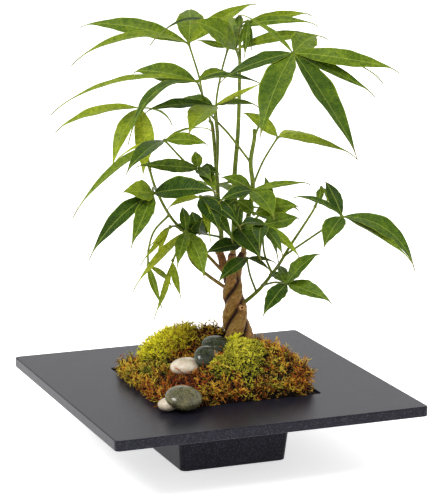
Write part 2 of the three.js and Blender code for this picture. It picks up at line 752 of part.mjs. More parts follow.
const moss = mossSlab()
  .subtract(soilHeap(GAP))
  .subtract(trunkHole(TRUNK_FOOT, HEIGHT + MOSS_CREST * 2))
  .subtract(stoneRoom)
  .simplify(TIDY);
const rust = moss.subtract(clumps([...YELLOW_SWELLINGS, ...LIME_SWELLINGS], GAP));
root.add(mesh("moss_rust", rust, RUST_MOSS));
root.add(mesh("moss_yellow", moss.intersect(clumps(YELLOW_SWELLINGS, 0)), YELLOW_MOSS));
root.add(mesh("moss_lime", moss.intersect(clumps(LIME_SWELLINGS, 0)), LIME_MOSS));

const plant = new THREE.Group();
plant.rotation.z = PLANT_TURN;
root.add(plant);

const shoots = [
  ["shoot_left", shootLeft],
  ["shoot_middle", shootMiddle],
  ["shoot_right", shootRight],
  ["branch_left_high", branchLeftHigh],
  ["branch_left_low", branchLeftLow],
  ["branch_right", branchRight],
];
// Each stem's root sits in a socket in the bark, a gap wider than itself.
const sockets = wasm.Manifold.union(
  shoots.map(([, { stem, from }]) => {
    const [first, second] = [vec(stem[0]), vec(stem[1])];
    const back = first.clone().lerp(second, -GAP / first.distanceTo(second));
    return stalk([back.toArray(), second.toArray()], from + GAP, from + GAP, 1);
  }),
);
const strands = [
  ["strand_right", 0, [26, 19, 177], 3.4],
  ["strand_left", 1, [4, 26, 177], 3.1],
  ["strand_middle", 2, [16, 14, 177], 3.5],
];
for (const [name, index, top, radius] of strands)
  plant.add(mesh(name, strand(index, top, radius).subtract(sockets), BARK));
for (const [name, shoot] of shoots) plant.add(mesh(name, leafyStem(shoot), LEAF));

export default root;
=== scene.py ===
# %% [markdown]
# # A small braided money tree in a wide-rimmed planter
# A money tree is sold as three young stems braided while they are soft. Here the braid stands in a low
# square planter, in a bed of curly moss with river pebbles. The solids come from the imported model, in
# the same frame. This lesson gives each of them the surface that the real thing has.

import bpy
import numpy as np
from mathutils import Matrix


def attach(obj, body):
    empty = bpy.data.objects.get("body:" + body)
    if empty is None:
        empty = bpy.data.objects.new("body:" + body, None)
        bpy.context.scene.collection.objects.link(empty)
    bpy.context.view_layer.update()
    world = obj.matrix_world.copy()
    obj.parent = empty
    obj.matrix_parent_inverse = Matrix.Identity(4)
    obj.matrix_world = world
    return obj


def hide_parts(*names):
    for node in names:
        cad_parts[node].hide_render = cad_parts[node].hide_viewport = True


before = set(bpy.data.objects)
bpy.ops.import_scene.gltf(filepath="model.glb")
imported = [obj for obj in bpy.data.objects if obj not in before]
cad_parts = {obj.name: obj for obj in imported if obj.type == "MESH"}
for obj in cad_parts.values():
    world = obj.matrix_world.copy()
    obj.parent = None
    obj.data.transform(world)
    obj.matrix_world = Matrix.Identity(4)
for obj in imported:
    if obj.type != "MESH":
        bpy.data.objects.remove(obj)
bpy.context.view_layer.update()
MM = 0.001

# %% [markdown]
# ## Sizes
# All shapes below are worked out in millimetres, with z up from the floor, and only turned into metres
# when a mesh is made. The plant stands at an angle to the planter's sides, so it has a frame of its own:
# x across the widest view of the braid and y to the back.

# %% Sizes that several pieces share
HEIGHT = 64.0  # floor to the flat top of the planter
RIM_SIDE = 280.0  # side of the square plate
RIM_THICK = 9.0
OPENING_SIDE = 142.0
RECESS_DEPTH = 5.0
WELL_TOP = 107.0  # side of the root well under the plate
WELL_FOOT = 97.0  # and on the floor
PLANT_TURN = np.radians(-22)
TRUNK_X, TRUNK_Y = 21.0, 20.0  # where the trunk comes out of the moss, in the plant's frame
TRUNK_GROUND = 99.0  # height of the moss round the trunk
BRAID_TOP = 150.0  # the strands part here


def to_planter(points):
    """Turns points of the plant's frame by PLANT_TURN about the upright axis, into the planter's frame."""
    c, s = np.cos(PLANT_TURN), np.sin(PLANT_TURN)
    x, y = points[..., 0], points[..., 1]
    return np.stack([c * x - s * y, s * x + c * y, points[..., 2]], -1)


def to_plant(x, y):
    """The opposite turn, for points given by x and y alone."""
    c, s = np.cos(PLANT_TURN), np.sin(PLANT_TURN)
    return c * x + s * y, -s * x + c * y


# %% [markdown]
# ## Small helpers for vectors and meshes
# Every new piece is a grid of points: a section carried along a path, or a height over a plane. One
# helper numbers the faces of such a grid, one turns paths into tubes, and one makes the Blender mesh.

# %% Vector helpers
def unit(v):
    """Each vector divided by its own length."""
    return v / np.maximum(np.linalg.norm(v, axis=-1, keepdims=True), 1e-9)


def ease(low, high, t):
    """0 below low, 1 above high and a smooth S between them: 3s^2 - 2s^3."""
    s = np.clip((t - low) / (high - low), 0, 1)
    return s * s * (3 - 2 * s)


def ripple(points, size, seed, waves=14):
    """A soft bumpy pattern from -1 to 1: the mean of sines that run in random directions, each about
    size millimetres long from crest to crest."""
    draw = np.random.default_rng(seed)
    heading = unit(draw.normal(size=(waves, 3))) * 2 * np.pi / (size * draw.uniform(0.6, 1.6, (waves, 1)))
    phase = draw.uniform(0, 2 * np.pi, waves)
    return np.sin(points @ heading.T + phase).mean(-1) * 2


CURVE_STEPS = 24  # points that a curve is worked out at between two given ones


def smooth_path(points, steps):
    """A curve through the points, at equal steps of its length. Between two points it is a cubic that
    leaves each along the mean direction of its neighbours."""
    p = np.asarray(points, float)
    p = np.vstack([2 * p[0] - p[1], p, 2 * p[-1] - p[-2]])
    slope = (p[2:] - p[:-2]) / 2
    t = np.linspace(0, 1, CURVE_STEPS)[:, None]
    start, end = p[1:-2, None], p[2:-1, None]
    leave, arrive = slope[:-1, None], slope[1:, None]
    rise = 3 * t**2 - 2 * t**3
    fine = start * (1 - rise) + end * rise + leave * (t - 2 * t**2 + t**3) + arrive * (t**3 - t**2)
    fine = fine.reshape(-1, 3)
    run = np.concatenate([[0], np.cumsum(np.linalg.norm(np.diff(fine, axis=0), axis=1))])
    wanted = np.linspace(0, run[-1], steps)
    return np.stack([np.interp(wanted, run, fine[:, k]) for k in range(3)], -1)


# %% Faces of grids and tubes
def grid_quads(rows, cols, around):
    """Four-sided faces of rows x cols points; around joins the last column to the first."""
    j, i = np.meshgrid(np.arange(rows - 1), np.arange(cols if around else cols - 1), indexing="ij")
    after = (i + 1) % cols
    quads = np.stack([j * cols + i, j * cols + after, (j + 1) * cols + after, (j + 1) * cols + i], -1)
    return quads.reshape(-1, 4)


def tube_faces(rows, cols, copies=1):
    """Faces of closed tubes, each with rows rings of cols points and then one point at either end."""
    i = np.arange(cols)
    after = (i + 1) % cols
    last = (rows - 1) * cols
    foot = np.stack([after, i, np.full(cols, rows * cols)], -1)
    tip = np.stack([last + i, last + after, np.full(cols, rows * cols + 1)], -1)
    shift = (np.arange(copies) * (rows * cols + 2))[:, None, None]
    quads = grid_quads(rows, cols, True) + shift
    tris = np.concatenate([foot, tip]) + shift
    return quads.reshape(-1, 4), tris.reshape(-1, 3)


def tube_points(paths, radii, sides, blunt=0.5):
    """Rings round each path: centre + radius (cos a across + sin a over). The directions across and over
    stay square to the path and are carried along it without twisting. The end points stand blunt radii
    beyond the last rings."""
    along = unit(np.gradient(paths, axis=1))
    across = np.zeros_like(paths)
    helper = np.where(np.abs(along[:, :1, 2]) < 0.9, [[0.0, 0.0, 1.0]], [[1.0, 0.0, 0.0]])
    carried = np.cross(along[:, 0], helper)
    for k in range(paths.shape[1]):
        carried = unit(carried - along[:, k] * np.sum(carried * along[:, k], -1, keepdims=True))
        across[:, k] = carried
    over = np.cross(along, across)
    angle = 2 * np.pi * np.arange(sides) / sides
    turn = np.cos(angle)[:, None] * across[:, :, None] + np.sin(angle)[:, None] * over[:, :, None]
    rings = paths[:, :, None] + radii[..., None, None] * turn
    foot = paths[:, 0] - along[:, 0] * radii[:, :1] * blunt
    tip = paths[:, -1] + along[:, -1] * radii[:, -1:] * blunt
    return np.concatenate([rings.reshape(len(paths), -1, 3), foot[:, None], tip[:, None]], 1)


def ring_values(per_ring, sides):
    """One value for each point of a tube, from one value for each of its rings."""
    body = np.repeat(per_ring, sides, axis=1)
    return np.concatenate([body, per_ring[:, :1], per_ring[:, -1:]], 1)


# %% Making a Blender piece
class Parts:
    """Gathers the points, faces and point values of several shapes that make up one piece."""

    def __init__(self):
        """Starts with no shape in it."""
        self.points, self.quads, self.tris, self.values = [], [], [], []
        self.count = 0

    def add(self, points, quads, tris, material=0, **values):
        """Numbers the faces on from the shapes before; values are spread over all points of this one."""
        points = points.reshape(-1, 3)
        self.points.append(points)
        self.quads.append((quads + self.count, material))
        self.tris.append((tris + self.count, material))
        self.values.append({k: np.broadcast_to(np.ravel(v), len(points)) for k, v in values.items()})
        self.count += len(points)


def make_piece(name, parts, materials, slot, *nodes):
    """A mesh object from the gathered parts, riding on the body and standing for the CAD nodes."""
    mesh = bpy.data.meshes.new(name)
    groups = [g for g in parts.quads + parts.tris if len(g[0])]
    faces = [face for group, _ in groups for face in group.tolist()]
    mesh.from_pydata(np.concatenate(parts.points) * MM, [], faces)
    mesh.polygons.foreach_set("material_index", np.concatenate([np.full(len(g), m) for g, m in groups]))
    mesh.polygons.foreach_set("use_smooth", np.ones(len(faces), bool))
    for key in sorted({key for values in parts.values for key in values}):
        layer = mesh.attributes.new(key, "FLOAT", "POINT")
        rows = [v.get(key, np.zeros(len(p))) for v, p in zip(parts.values, parts.points)]
        layer.data.foreach_set("value", np.concatenate(rows).astype(np.float32))
    for material in materials:
        mesh.materials.append(material)
    mesh.update()
    piece = bpy.data.objects.new(name, mesh)
    bpy.context.scene.collection.objects.link(piece)
    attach(piece, "root")
    if nodes:
        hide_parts(*nodes)
    triangles = sum(len(f) - 2 for f in faces)
    print(f"{name}: {triangles} triangles")
    return piece


# %% [markdown]
# ## Building blocks for the finishes
# Several finishes need the same effect: fine specks in glaze and stone, and fibres that run along a
# stem or a strand of bark. Each is a node group that gives a mask or a height, built once. The shader
# itself stays in every material.

# %% Node helpers
def add_node(tree, kind, settings=None, **inputs):
    """Adds a node, sets its options, and gives each input a value or links it to another socket."""
    node = tree.nodes.new(kind)
    for key, value in (settings or {}).items():
        setattr(node, key, value)
    for key, value in inputs.items():
        socket = node.inputs[int(key[1:])] if key[0] == "i" and key[1:].isdigit() else node.inputs[key]
        if isinstance(value, bpy.types.NodeSocket):
            tree.links.new(value, socket)
        else:
            socket.default_value = value
    return node


def math(tree, operation, a, b=0.0):
    """The output of a Math node."""
    return add_node(tree, "ShaderNodeMath", {"operation": operation}, i0=a, i1=b).outputs[0]


def times(tree, a, b):
    """The product of two values."""
    return math(tree, "MULTIPLY", a, b)


def plus(tree, a, b):
    """The sum of two values."""
    return math(tree, "ADD", a, b)


def mix(tree, factor, a, b):
    """Colour a where the factor is 0, colour b where it is 1."""
    return add_node(tree, "ShaderNodeMix", {"data_type": "RGBA"}, i0=factor, i6=a, i7=b).outputs[2]


def fit(tree, value, low, high, to_low=0.0, to_high=1.0):
    """The value moved from the range low..high to the range to_low..to_high, and kept within it."""
    node = add_node(tree, "ShaderNodeMapRange", None, Value=value)
    for key, number in zip(("From Min", "From Max", "To Min", "To Max"), (low, high, to_low, to_high)):
        node.inputs[key].default_value = number
    return node.outputs[0]


def point_value(tree, name):
    """A value that the mesh carries on its points."""
    return add_node(tree, "ShaderNodeAttribute", {"attribute_name": name}).outputs["Fac"]


def object_place(tree):
    """The place of a point on the object, in metres, which a pattern is read at."""
    return add_node(tree, "ShaderNodeTexCoord").outputs["Object"]


def noise(tree, place, scale, detail=3.0, rough=0.55):
    """Noise over the surface; scale is in bumps per metre."""
    inputs = {"Vector": place, "Scale": scale, "Detail": detail, "Roughness": rough}
    return add_node(tree, "ShaderNodeTexNoise", None, **inputs).outputs["Fac"]


def ramp(tree, value, *stops):
    """Colours along a value: each stop is (position, colour)."""
    node = add_node(tree, "ShaderNodeValToRGB", None, Fac=value)
    band = node.color_ramp.elements
    while len(band) < len(stops):
        band.new(0.5)
    for element, (position, colour) in zip(band, stops):
        element.position = position
        element.color = colour
    return node.outputs["Color"]


def rgb(red, green, blue):
    """A colour as seen on a screen, 0 to 255, in the linear numbers that shaders use, and fully opaque."""
    shown = np.array([red, green, blue]) / 255
    linear = np.where(shown < 0.04, shown / 12.92, ((shown + 0.055) / 1.055) ** 2.4)
    return (*(float(v) for v in linear), 1.0)


def new_material(name, roughness, **fixed):
    """A material with its Principled shader; fixed values go straight on the shader's sockets."""
    material = bpy.data.materials.new(name)
    material.use_nodes = True
    tree = material.node_tree
    shader = tree.nodes["Principled BSDF"]
    shader.inputs["Roughness"].default_value = roughness
    for key, value in fixed.items():
        shader.inputs[key.replace("_", " ")].default_value = value
    return material, tree, shader


def bump(tree, shader, height, distance, strength=1.0):
    """Feeds a height into the shader's normal; distance is how deep the relief is, in metres."""
    relief = add_node(tree, "ShaderNodeBump", None, Height=height, Distance=distance, Strength=strength)
    tree.links.new(relief.outputs["Normal"], shader.inputs["Normal"])


# %% Node group: specks
def new_group(name, inputs, outputs):
    """An empty node group. inputs is {name: default number}, with None for a place; outputs are names
    of numbers."""
    group = bpy.data.node_groups.new(name, "ShaderNodeTree")
    for key, value in inputs.items():
        kind = "NodeSocketVector" if value is None else "NodeSocketFloat"
        socket = group.interface.new_socket(key, in_out="INPUT", socket_type=kind)
        if value is not None:
            socket.default_value = value
    for key in outputs:
        group.interface.new_socket(key, in_out="OUTPUT", socket_type="NodeSocketFloat")
    return group, group.nodes.new("NodeGroupInput"), group.nodes.new("NodeGroupOutput")


def make_specks():
    """Specks: round cells of a Voronoi pattern, each shown where its own draw allows; a coarse noise comes
    out beside them as clouds.
    """
    group, given, out = new_group("specks", {"Place": None, "Scale": 900.0, "Share": 0.3}, ["Mask", "Clouds"])
    place, scale = given.outputs["Place"], given.outputs["Scale"]
    cells = add_node(group, "ShaderNodeTexVoronoi", {"feature": "F1"}, Vector=place, Scale=scale)
    draw = add_node(group, "ShaderNodeSeparateColor", None, Color=cells.outputs["Color"]).outputs[0]
    chosen = math(group, "LESS_THAN", draw, given.outputs["Share"])
    round_spot = fit(group, cells.outputs["Distance"], 0.28, 0.48, 1.0, 0.0)
    clouds = noise(group, place, times(group, scale, 0.06), 4.0)
    group.links.new(times(group, chosen, round_spot), out.inputs["Mask"])
    group.links.new(clouds, out.inputs["Clouds"])
    return group


SPECKS = make_specks()


# %% Node group: fibres
def make_fibres():
    """Fibres: noise squeezed across the piece and drawn out along it, read from the piece's own
    distances along and around."""
    inputs = {"Along": 0.0, "Around": 0.0, "Stretch": 0.12, "Scale": 1.0}
    group, given, out = new_group("fibres", inputs, ["Grain", "Patches"])
    drawn = times(group, given.outputs["Along"], given.outputs["Stretch"])
    place = add_node(group, "ShaderNodeCombineXYZ", None, X=given.outputs["Around"], Y=drawn).outputs[0]
    grain = noise(group, place, given.outputs["Scale"], 5.0, 0.65)
    wide = times(group, given.outputs["Scale"], 0.22)
    group.links.new(grain, out.inputs["Grain"])
    group.links.new(noise(group, place, wide, 3.0), out.inputs["Patches"])
    return group


FIBRES = make_fibres()


def use_group(tree, group, **inputs):
    """Places a node group in a material, with its inputs set or linked."""
    return add_node(tree, "ShaderNodeGroup", {"node_tree": group}, **inputs)


# %% [markdown]
# ## The camera and the light
# The photograph was taken with a long lens from a little above, with one corner of the planter towards
# the viewer. The camera stands where the planter's four corners fall on their places in the photograph.
# The light is that of a white studio: bright all round, a little stronger from the upper left.

# %% Camera
PHOTO_WIDTH = 445
FOCAL_PIXELS = 2244.7  # focal length in pixels of that width
CAMERA_AZIMUTH = np.radians(-21.971)
CAMERA_ELEVATION = np.radians(12.3517)
CAMERA_ROLL = np.radians(0.2654)
CAMERA_DISTANCE = 1970.8  # from the middle of the planter's top
CAMERA_RIGHT = 7.588  # how far the camera is moved to its own right
CAMERA_UP = 114.52  # and up
SENSOR_WIDTH = 36.0


def add_camera():
    """Looks along the opposite of the direction from the planter to the camera, rolled slightly."""
    level = np.cos(CAMERA_ELEVATION)
    back = np.array([
        np.sin(CAMERA_AZIMUTH) * level, -np.cos(CAMERA_AZIMUTH) * level, np.sin(CAMERA_ELEVATION),
    ])
    right = np.array([np.cos(CAMERA_AZIMUTH), np.sin(CAMERA_AZIMUTH), 0])
    up = np.cross(back, right)
    rolled_right = right * np.cos(CAMERA_ROLL) + up * np.sin(CAMERA_ROLL)
    rolled_up = up * np.cos(CAMERA_ROLL) - right * np.sin(CAMERA_ROLL)
    place = np.array([0, 0, HEIGHT]) + back * CAMERA_DISTANCE
    place += rolled_right * CAMERA_RIGHT + rolled_up * CAMERA_UP
    matrix = np.eye(4)
    matrix[:3, :3] = np.stack([rolled_right, rolled_up, back], 1)
    matrix[:3, 3] = place * MM
    data = bpy.data.cameras.new("camera")
    data.sensor_fit = "HORIZONTAL"
    data.sensor_width = SENSOR_WIDTH
    data.lens = data.sensor_width * FOCAL_PIXELS / PHOTO_WIDTH
    data.clip_end = 60.0
    camera = bpy.data.objects.new("camera", data)
    bpy.context.scene.collection.objects.link(camera)
    camera.matrix_world = Matrix(matrix)
    bpy.context.scene.camera = camera
    print("camera lens in mm:", round(data.lens, 1))


add_camera()


# %% Light and floor
SKY_BRIGHTEST = (0.15, 0.95, 0.25)  # towards the back, a little to the right and up
SKY_FRONT_STRENGTH, SKY_BACK_STRENGTH = 0.6, 1.2
FLOOR_GLOW = 0.62
FLOOR_REACH = 14.0  # metres to each side
FLOOR_DROP = 0.0002  # metres under the planter's foot


def add_sky():
    """A sky that is bright behind and above the plant and dimmer on the viewer's side, as in a studio with
    a white backdrop. Its strength grows evenly with the part of a direction that points to SKY_BRIGHTEST."""
    world = bpy.data.worlds.new("studio")
    world.use_nodes = True
    tree = world.node_tree
    heading = add_node(tree, "ShaderNodeTexCoord").outputs["Generated"]
    along = add_node(tree, "ShaderNodeVectorMath", {"operation": "DOT_PRODUCT"}, i0=heading, i1=SKY_BRIGHTEST)
    strength = fit(tree, along.outputs["Value"], -0.9, 0.9, SKY_FRONT_STRENGTH, SKY_BACK_STRENGTH)
    background = tree.nodes["Background"]
    background.inputs["Color"].default_value = (1.0, 1.0, 1.0, 1)
    tree.links.new(strength, background.inputs["Strength"])
    bpy.context.scene.world = world
    bpy.context.scene.view_settings.view_transform = "Standard"


def add_sun(name, from_place, strength, softness):
    """A soft light from far away, so that it is as strong at the back of the floor as at the plant."""
    data = bpy.data.lights.new(name, "SUN")
    data.energy = strength
    data.angle = np.radians(softness)
    light = bpy.data.objects.new(name, data)
    bpy.context.scene.collection.objects.link(light)
    back = unit(np.array(from_place, float))
    right = unit(np.cross([0, 0, 1.0], back))
    matrix = np.eye(4)
    matrix[:3, :3] = np.stack([right, np.cross(back, right), back], 1)
    light.matrix_world = Matrix(matrix)


def add_floor():
    """Pale paper that runs far back. It glows a little, as a lit backdrop does, so shadows stay light."""
    material, tree, shader = new_material("floor_paper", 0.9, Specular_IOR_Level=0.1)
    paper = noise(tree, object_place(tree), 3.0, 2.0)
    white = mix(tree, paper, (0.93, 0.93, 0.93, 1), (0.95, 0.95, 0.95, 1))
    tree.links.new(white, shader.inputs["Base Color"])
    shader.inputs["Emission Color"].default_value = (1, 1, 1, 1)
    shader.inputs["Emission Strength"].default_value = FLOOR_GLOW
    mesh = bpy.data.meshes.new("floor")
    corners = [(-1, -1), (1, -1), (1, 1), (-1, 1)]
    places = [(x * FLOOR_REACH, y * FLOOR_REACH, -FLOOR_DROP) for x, y in corners]
    mesh.from_pydata(places, [], [(0, 1, 2, 3)])
    mesh.materials.append(material)
    floor = bpy.data.objects.new("floor", mesh)
    bpy.context.scene.collection.objects.link(floor)


add_sky()
add_sun("key_upper_left", (-1.0, -0.75, 1.35), 2.3, 22)
add_sun("fill_right", (1.0, -0.9, 0.7), 0.35, 40)
add_floor()
print("sky, two suns and a floor of", 2 * FLOOR_REACH, "m")

# %% [markdown]
# ## The planter
# The real planter is one casting in satin slate grey: a flat square plate with a shallow recess for the
# moss, on a small square well that holds the roots. Its edges are softly rounded, which draws the thin
# light line round the plate. A section that runs over the outside and back over the inside is carried
# round a square with rounded corners, so one closed surface makes the whole piece.

# %% Planter shape
CORNER_STEPS = 7
WELL_WALL = 3.0
EDGE_RADIUS = 1.1
CORNER_RADII = [0.3, 5, 2, 3, 4]  # seen from above: middle, foot, opening, just inside the rim, and the rim


def rounded_square(half, corner):
    """Points round a square of half side half, its corners arcs of radius corner. Points close beside
    each arc keep the shading of the straight sides even."""
    turn = np.linspace(0, np.pi / 2, CORNER_STEPS)
    arc = np.stack([np.cos(turn), np.sin(turn)], -1) * corner + (half - corner)
    steps = np.array([[0.006], [0.5], [0.994]])
    sides = []
    for k in range(4):
        c, s = np.cos(k * np.pi / 2), np.sin(k * np.pi / 2)
        spin = np.array([[c, s], [-s, c]])
        own = arc @ spin
        onward = arc[0] @ np.array([[-s, c], [-c, -s]])
        sides += [own, own[-1] + (onward - own[-1]) * steps]
    return np.concatenate(sides)


def rounded_edge(points, radius, steps=5):
    """A section through points (half side, height), each bend rounded by an arc-like curve: a blend of
    the lines on either side, from radius before the bend to radius after it. A point on each side of the
    curve keeps the shading of the flats even."""
    p = np.array(points, float)
    t = np.linspace(0, 1, steps)[:, None]
    path = [p[:1]]
    for k in range(1, len(p) - 1):
        before, after = unit(p[k - 1] - p[k]), unit(p[k + 1] - p[k])
        near = min(radius, 0.45 * np.linalg.norm(p[k - 1] - p[k]), 0.45 * np.linalg.norm(p[k + 1] - p[k]))
        start, end = p[k] + before * near, p[k] + after * near
        bend = start * (1 - t) ** 2 + 2 * p[k] * t * (1 - t) + end * t**2
        path += [start[None] + before * near * 0.15, bend, end[None] + after * near * 0.15]
    return np.concatenate(path + [p[-1:]])


def planter_shape():
    """The outside from the middle of the foot up to the rim, over the top, down into the recess, down
    the inside of the well and back to the middle of its floor."""
    half, hole = RIM_SIDE / 2, OPENING_SIDE / 2
    under, recess = HEIGHT - RIM_THICK, HEIGHT - RECESS_DEPTH
    section = [
        (1.0, 0), (WELL_FOOT / 2, 0), (WELL_TOP / 2, under), (half, under), (half, HEIGHT), (hole, HEIGHT),
        (hole, recess), (WELL_TOP / 2 - WELL_WALL, recess), (WELL_FOOT / 2 - WELL_WALL, WELL_WALL),
        (1.0, WELL_WALL),
    ]
    line = rounded_edge(section, EDGE_RADIUS)
    corner = np.interp(line[:, 0], [0, WELL_FOOT / 2, hole, half - 2, half], CORNER_RADII)
    rings = np.stack([
        np.concatenate([ring, np.full((len(ring), 1), z)], 1)
        for ring, z in ((rounded_square(h, min(c, h * 0.6)), z) for (h, z), c in zip(line, corner))
    ])
    ends = np.array([[0, 0, 0.0], [0, 0, WELL_WALL]])
    return np.concatenate([rings.reshape(-1, 3), ends]), rings.shape[:2]


# %% [markdown]
# ## The planter's finish
# The glaze looks even from afar, but close to it shows fine lighter grit and catches the light unevenly.
# An image would slide or stretch over the corners, so two layers of the specks group are laid over a
# cloudy dark grey instead, a fine one and a coarse one.

# %% Planter finish
def slate_glaze():
    """Satin slate grey: nearly even, with fine specks of lighter grit, faint cloudy patches and a trace
    of wear where the grit is thick."""
    material, tree, shader = new_material("slate_glaze", 0.32, Specular_IOR_Level=0.12)
    place = object_place(tree)
    fine = use_group(tree, SPECKS, Place=place, Scale=1300.0, Share=0.3)
    coarse = use_group(tree, SPECKS, Place=place, Scale=620.0, Share=0.22)
    base = ramp(tree, fine.outputs["Clouds"], (0.3, rgb(20, 19, 27)), (0.7, rgb(25, 24, 33)))
    gritty = mix(tree, times(tree, fine.outputs["Mask"], 0.5), base, rgb(84, 83, 94))
    grained = mix(tree, times(tree, coarse.outputs["Mask"], 0.45), gritty, rgb(58, 57, 64))
    tree.links.new(grained, shader.inputs["Base Color"])
    tree.links.new(fit(tree, fine.outputs["Mask"], 0.0, 1.0, 0.3, 0.45), shader.inputs["Roughness"])
    orange_peel = noise(tree, place, 900.0, 3.0)
    bump(tree, shader, plus(tree, orange_peel, fine.outputs["Mask"]), 0.0001, 0.4)
    return material


def make_planter():
    """The rings of the section are joined like those of a tube, with one point at either end."""
    points, (rows, cols) = planter_shape()
    parts = Parts()
    parts.add(points, *tube_faces(rows, cols))
    make_piece("planter_body", parts, [slate_glaze()], "slate", "planter")


make_planter()

# %% [markdown]
# ## The braid
# Each strand is a round stem pressed flat where it meets the other two, so its section is a circle cut
# by two planes through the axis of the trunk. The circle goes round that axis as it rises. Above the
# braid each strand leans away on its own and ends in a pruned top, from which the green shoots grow.

# %% Strand shape
TRUNK_WIDE, TRUNK_SLIM = 14.2, 8.5  # half the braid's width at the moss and where the strands part
TRUNK_LEAN = -0.11  # how far the axis moves to the left for each millimetre of height
TRUNK_TAPER = 0.8  # below 1 it narrows faster near the moss
TRUNK_FOOT = 70.0  # the strands begin down in the soil
BRAID_START = np.radians(112)
TWIST = 0.058  # radians for each millimetre of height
TWIST_GAIN = 0.0007  # and for its square
STRAND_SHARE = 0.6  # a strand's radius as a share of the braid's
STRAND_SWAY = 1.2  # above 1 a strand leaves the braid gently
STRAND_GAP = 0.15  # between a strand and the plane where it meets the next
CREASE_REACH = 5.0  # this far from such a plane the painted crease shade ends
CAP_LENGTH = 3.2  # the part of a pruned top that is rounded over
STRAND_RINGS, STRAND_SIDES = 210, 56
# for each strand: its number, the place of its top, the radius there and how far the pruned wood reaches down
STRAND_TOPS = {
    "strand_right": (0, (26, 19, 177), 3.4, 12),
    "strand_left": (1, (4, 26, 177), 3.1, 3),
    "strand_middle": (2, (16, 14, 177), 3.5, 4),
}


def trunk_axis(z):
    """x of the braid's axis at height z: it leans to the left from the moss up."""
    return TRUNK_X + TRUNK_LEAN * np.maximum(z - TRUNK_GROUND, 0)


def trunk_radius(z):
    """Half the width of the whole braid: it narrows from the moss to where the strands part."""
    t = np.clip((z - TRUNK_GROUND) / (BRAID_TOP - TRUNK_GROUND), 0, 1)
    return TRUNK_WIDE + (TRUNK_SLIM - TRUNK_WIDE) * t**TRUNK_TAPER


def braid_angle(index, z):
    """Where a strand stands round the axis: it starts a third of a turn from the next one and turns a
    little faster further up."""
    above = np.minimum(z, BRAID_TOP) - TRUNK_GROUND
    return BRAID_START + np.radians(120) * index + TWIST * above + TWIST_GAIN * np.maximum(above, 0) ** 2


def bark_relief(z, turn, index):
    """Long ridges that follow the strand, rings of old growth and a few swellings, all in millimetres but
    for the last."""
    skin = np.stack(np.broadcast_arrays(6 * np.cos(turn), 6 * np.sin(turn), z * 0.22), -1)
    ridges = ripple(skin, 4.2, 11 + index, 20) * 0.28
    growth = 0.16 * np.sin(z * 1.15 + 2 * ripple(skin, 30, 21 + index)) * np.ones_like(turn)
    swell = ripple(np.stack(np.broadcast_arrays(z, z * 0, turn * 0), -1), 26, 31 + index) * 0.5
    return ridges, growth, swell


def pressed_flat(px, py, z, angle):
    """Moves each point that lies past one of the two planes where a strand meets its neighbours back onto
    that plane, and says how deep it lies in the crease, which sets the bark's painted shade: 1 at a plane,
    0 from CREASE_REACH on."""
    depth = np.zeros_like(px)
    for side in (-1, 1):
        wall = angle + side * np.pi / 3
        nx, ny = side * np.sin(wall), -side * np.cos(wall)
        inward = (px - trunk_axis(z)) * nx + (py - TRUNK_Y) * ny - STRAND_GAP
        held = np.minimum(inward, 0)
        px, py = px - held * nx, py - held * ny
        depth = np.maximum(depth, 1 - ease(0.0, CREASE_REACH, inward))
    return px, py, depth


def strand_shape(index, top, top_radius, cut):
    """Points of one strand, with its distances along and around and how deep each point lies in a crease,
    which sets the painted shade there.
    """
    z = np.linspace(TRUNK_FOOT, top[2], STRAND_RINGS)[:, None]
    turn = 2 * np.pi * np.arange(STRAND_SIDES) / STRAND_SIDES
    free = np.clip((z - BRAID_TOP) / (top[2] - BRAID_TOP), 0, 1)
    whole = trunk_radius(z)
    packed = whole * STRAND_SHARE
    radius = packed + (top_radius - packed) * free
    angle = braid_angle(index, z)
    braided_x = trunk_axis(z) + (whole - packed) * np.cos(angle)
    braided_y = TRUNK_Y + (whole - packed) * np.sin(angle)
    x = braided_x + (top[0] - braided_x) * free**STRAND_SWAY
    y = braided_y + (top[1] - braided_y) * free**STRAND_SWAY
    ridges, growth, swell = bark_relief(z, turn, index)
    girth = radius * (1 + 0.05 * swell) + ridges + growth
    around = angle + turn
    px, py, depth = pressed_flat(x + girth * np.cos(around), y + girth * np.sin(around), z, angle)
    # the painted crease shade fades out where the strands leave the braid
    crease = depth * (1 - ease(0.02, 0.3, free))
    points = np.stack([px, py, z + 0 * px], -1)
    # the pruned top is rounded over
    cap = ease(top[2] - CAP_LENGTH, top[2], z) ** 2
    centre = np.stack([x, y, z], -1)
    points = points + (centre - points) * (0.75 * cap[..., None])
    ends = np.array([[x[0, 0], y[0, 0], z[0, 0]], [x[-1, 0], y[-1, 0], z[-1, 0] + 0.3]])
    pruned = ease(top[2] - cut, top[2] - 0.5 * cut, z)
    values = {
        "along": np.append(np.repeat(z, STRAND_SIDES), [z[0, 0], z[-1, 0]]),
        "around": np.append(np.broadcast_to(radius * turn, px.shape), [0, 0]),
        "crease": np.append(crease, [0, 0]),
        "cut": np.append(np.repeat(pruned, STRAND_SIDES), [0, 1]),
    }
    return np.concatenate([points.reshape(-1, 3), ends]), values


# %% Branch scar
KNOT_RINGS, KNOT_SIDES = 16, 32
KNOT_ON = "strand_right"
KNOT_PLACE = (24.2, 7.6, 128.0)
KNOT_FACING = (0.35, -1, 0.25)
KNOT_SIZE = 3.7


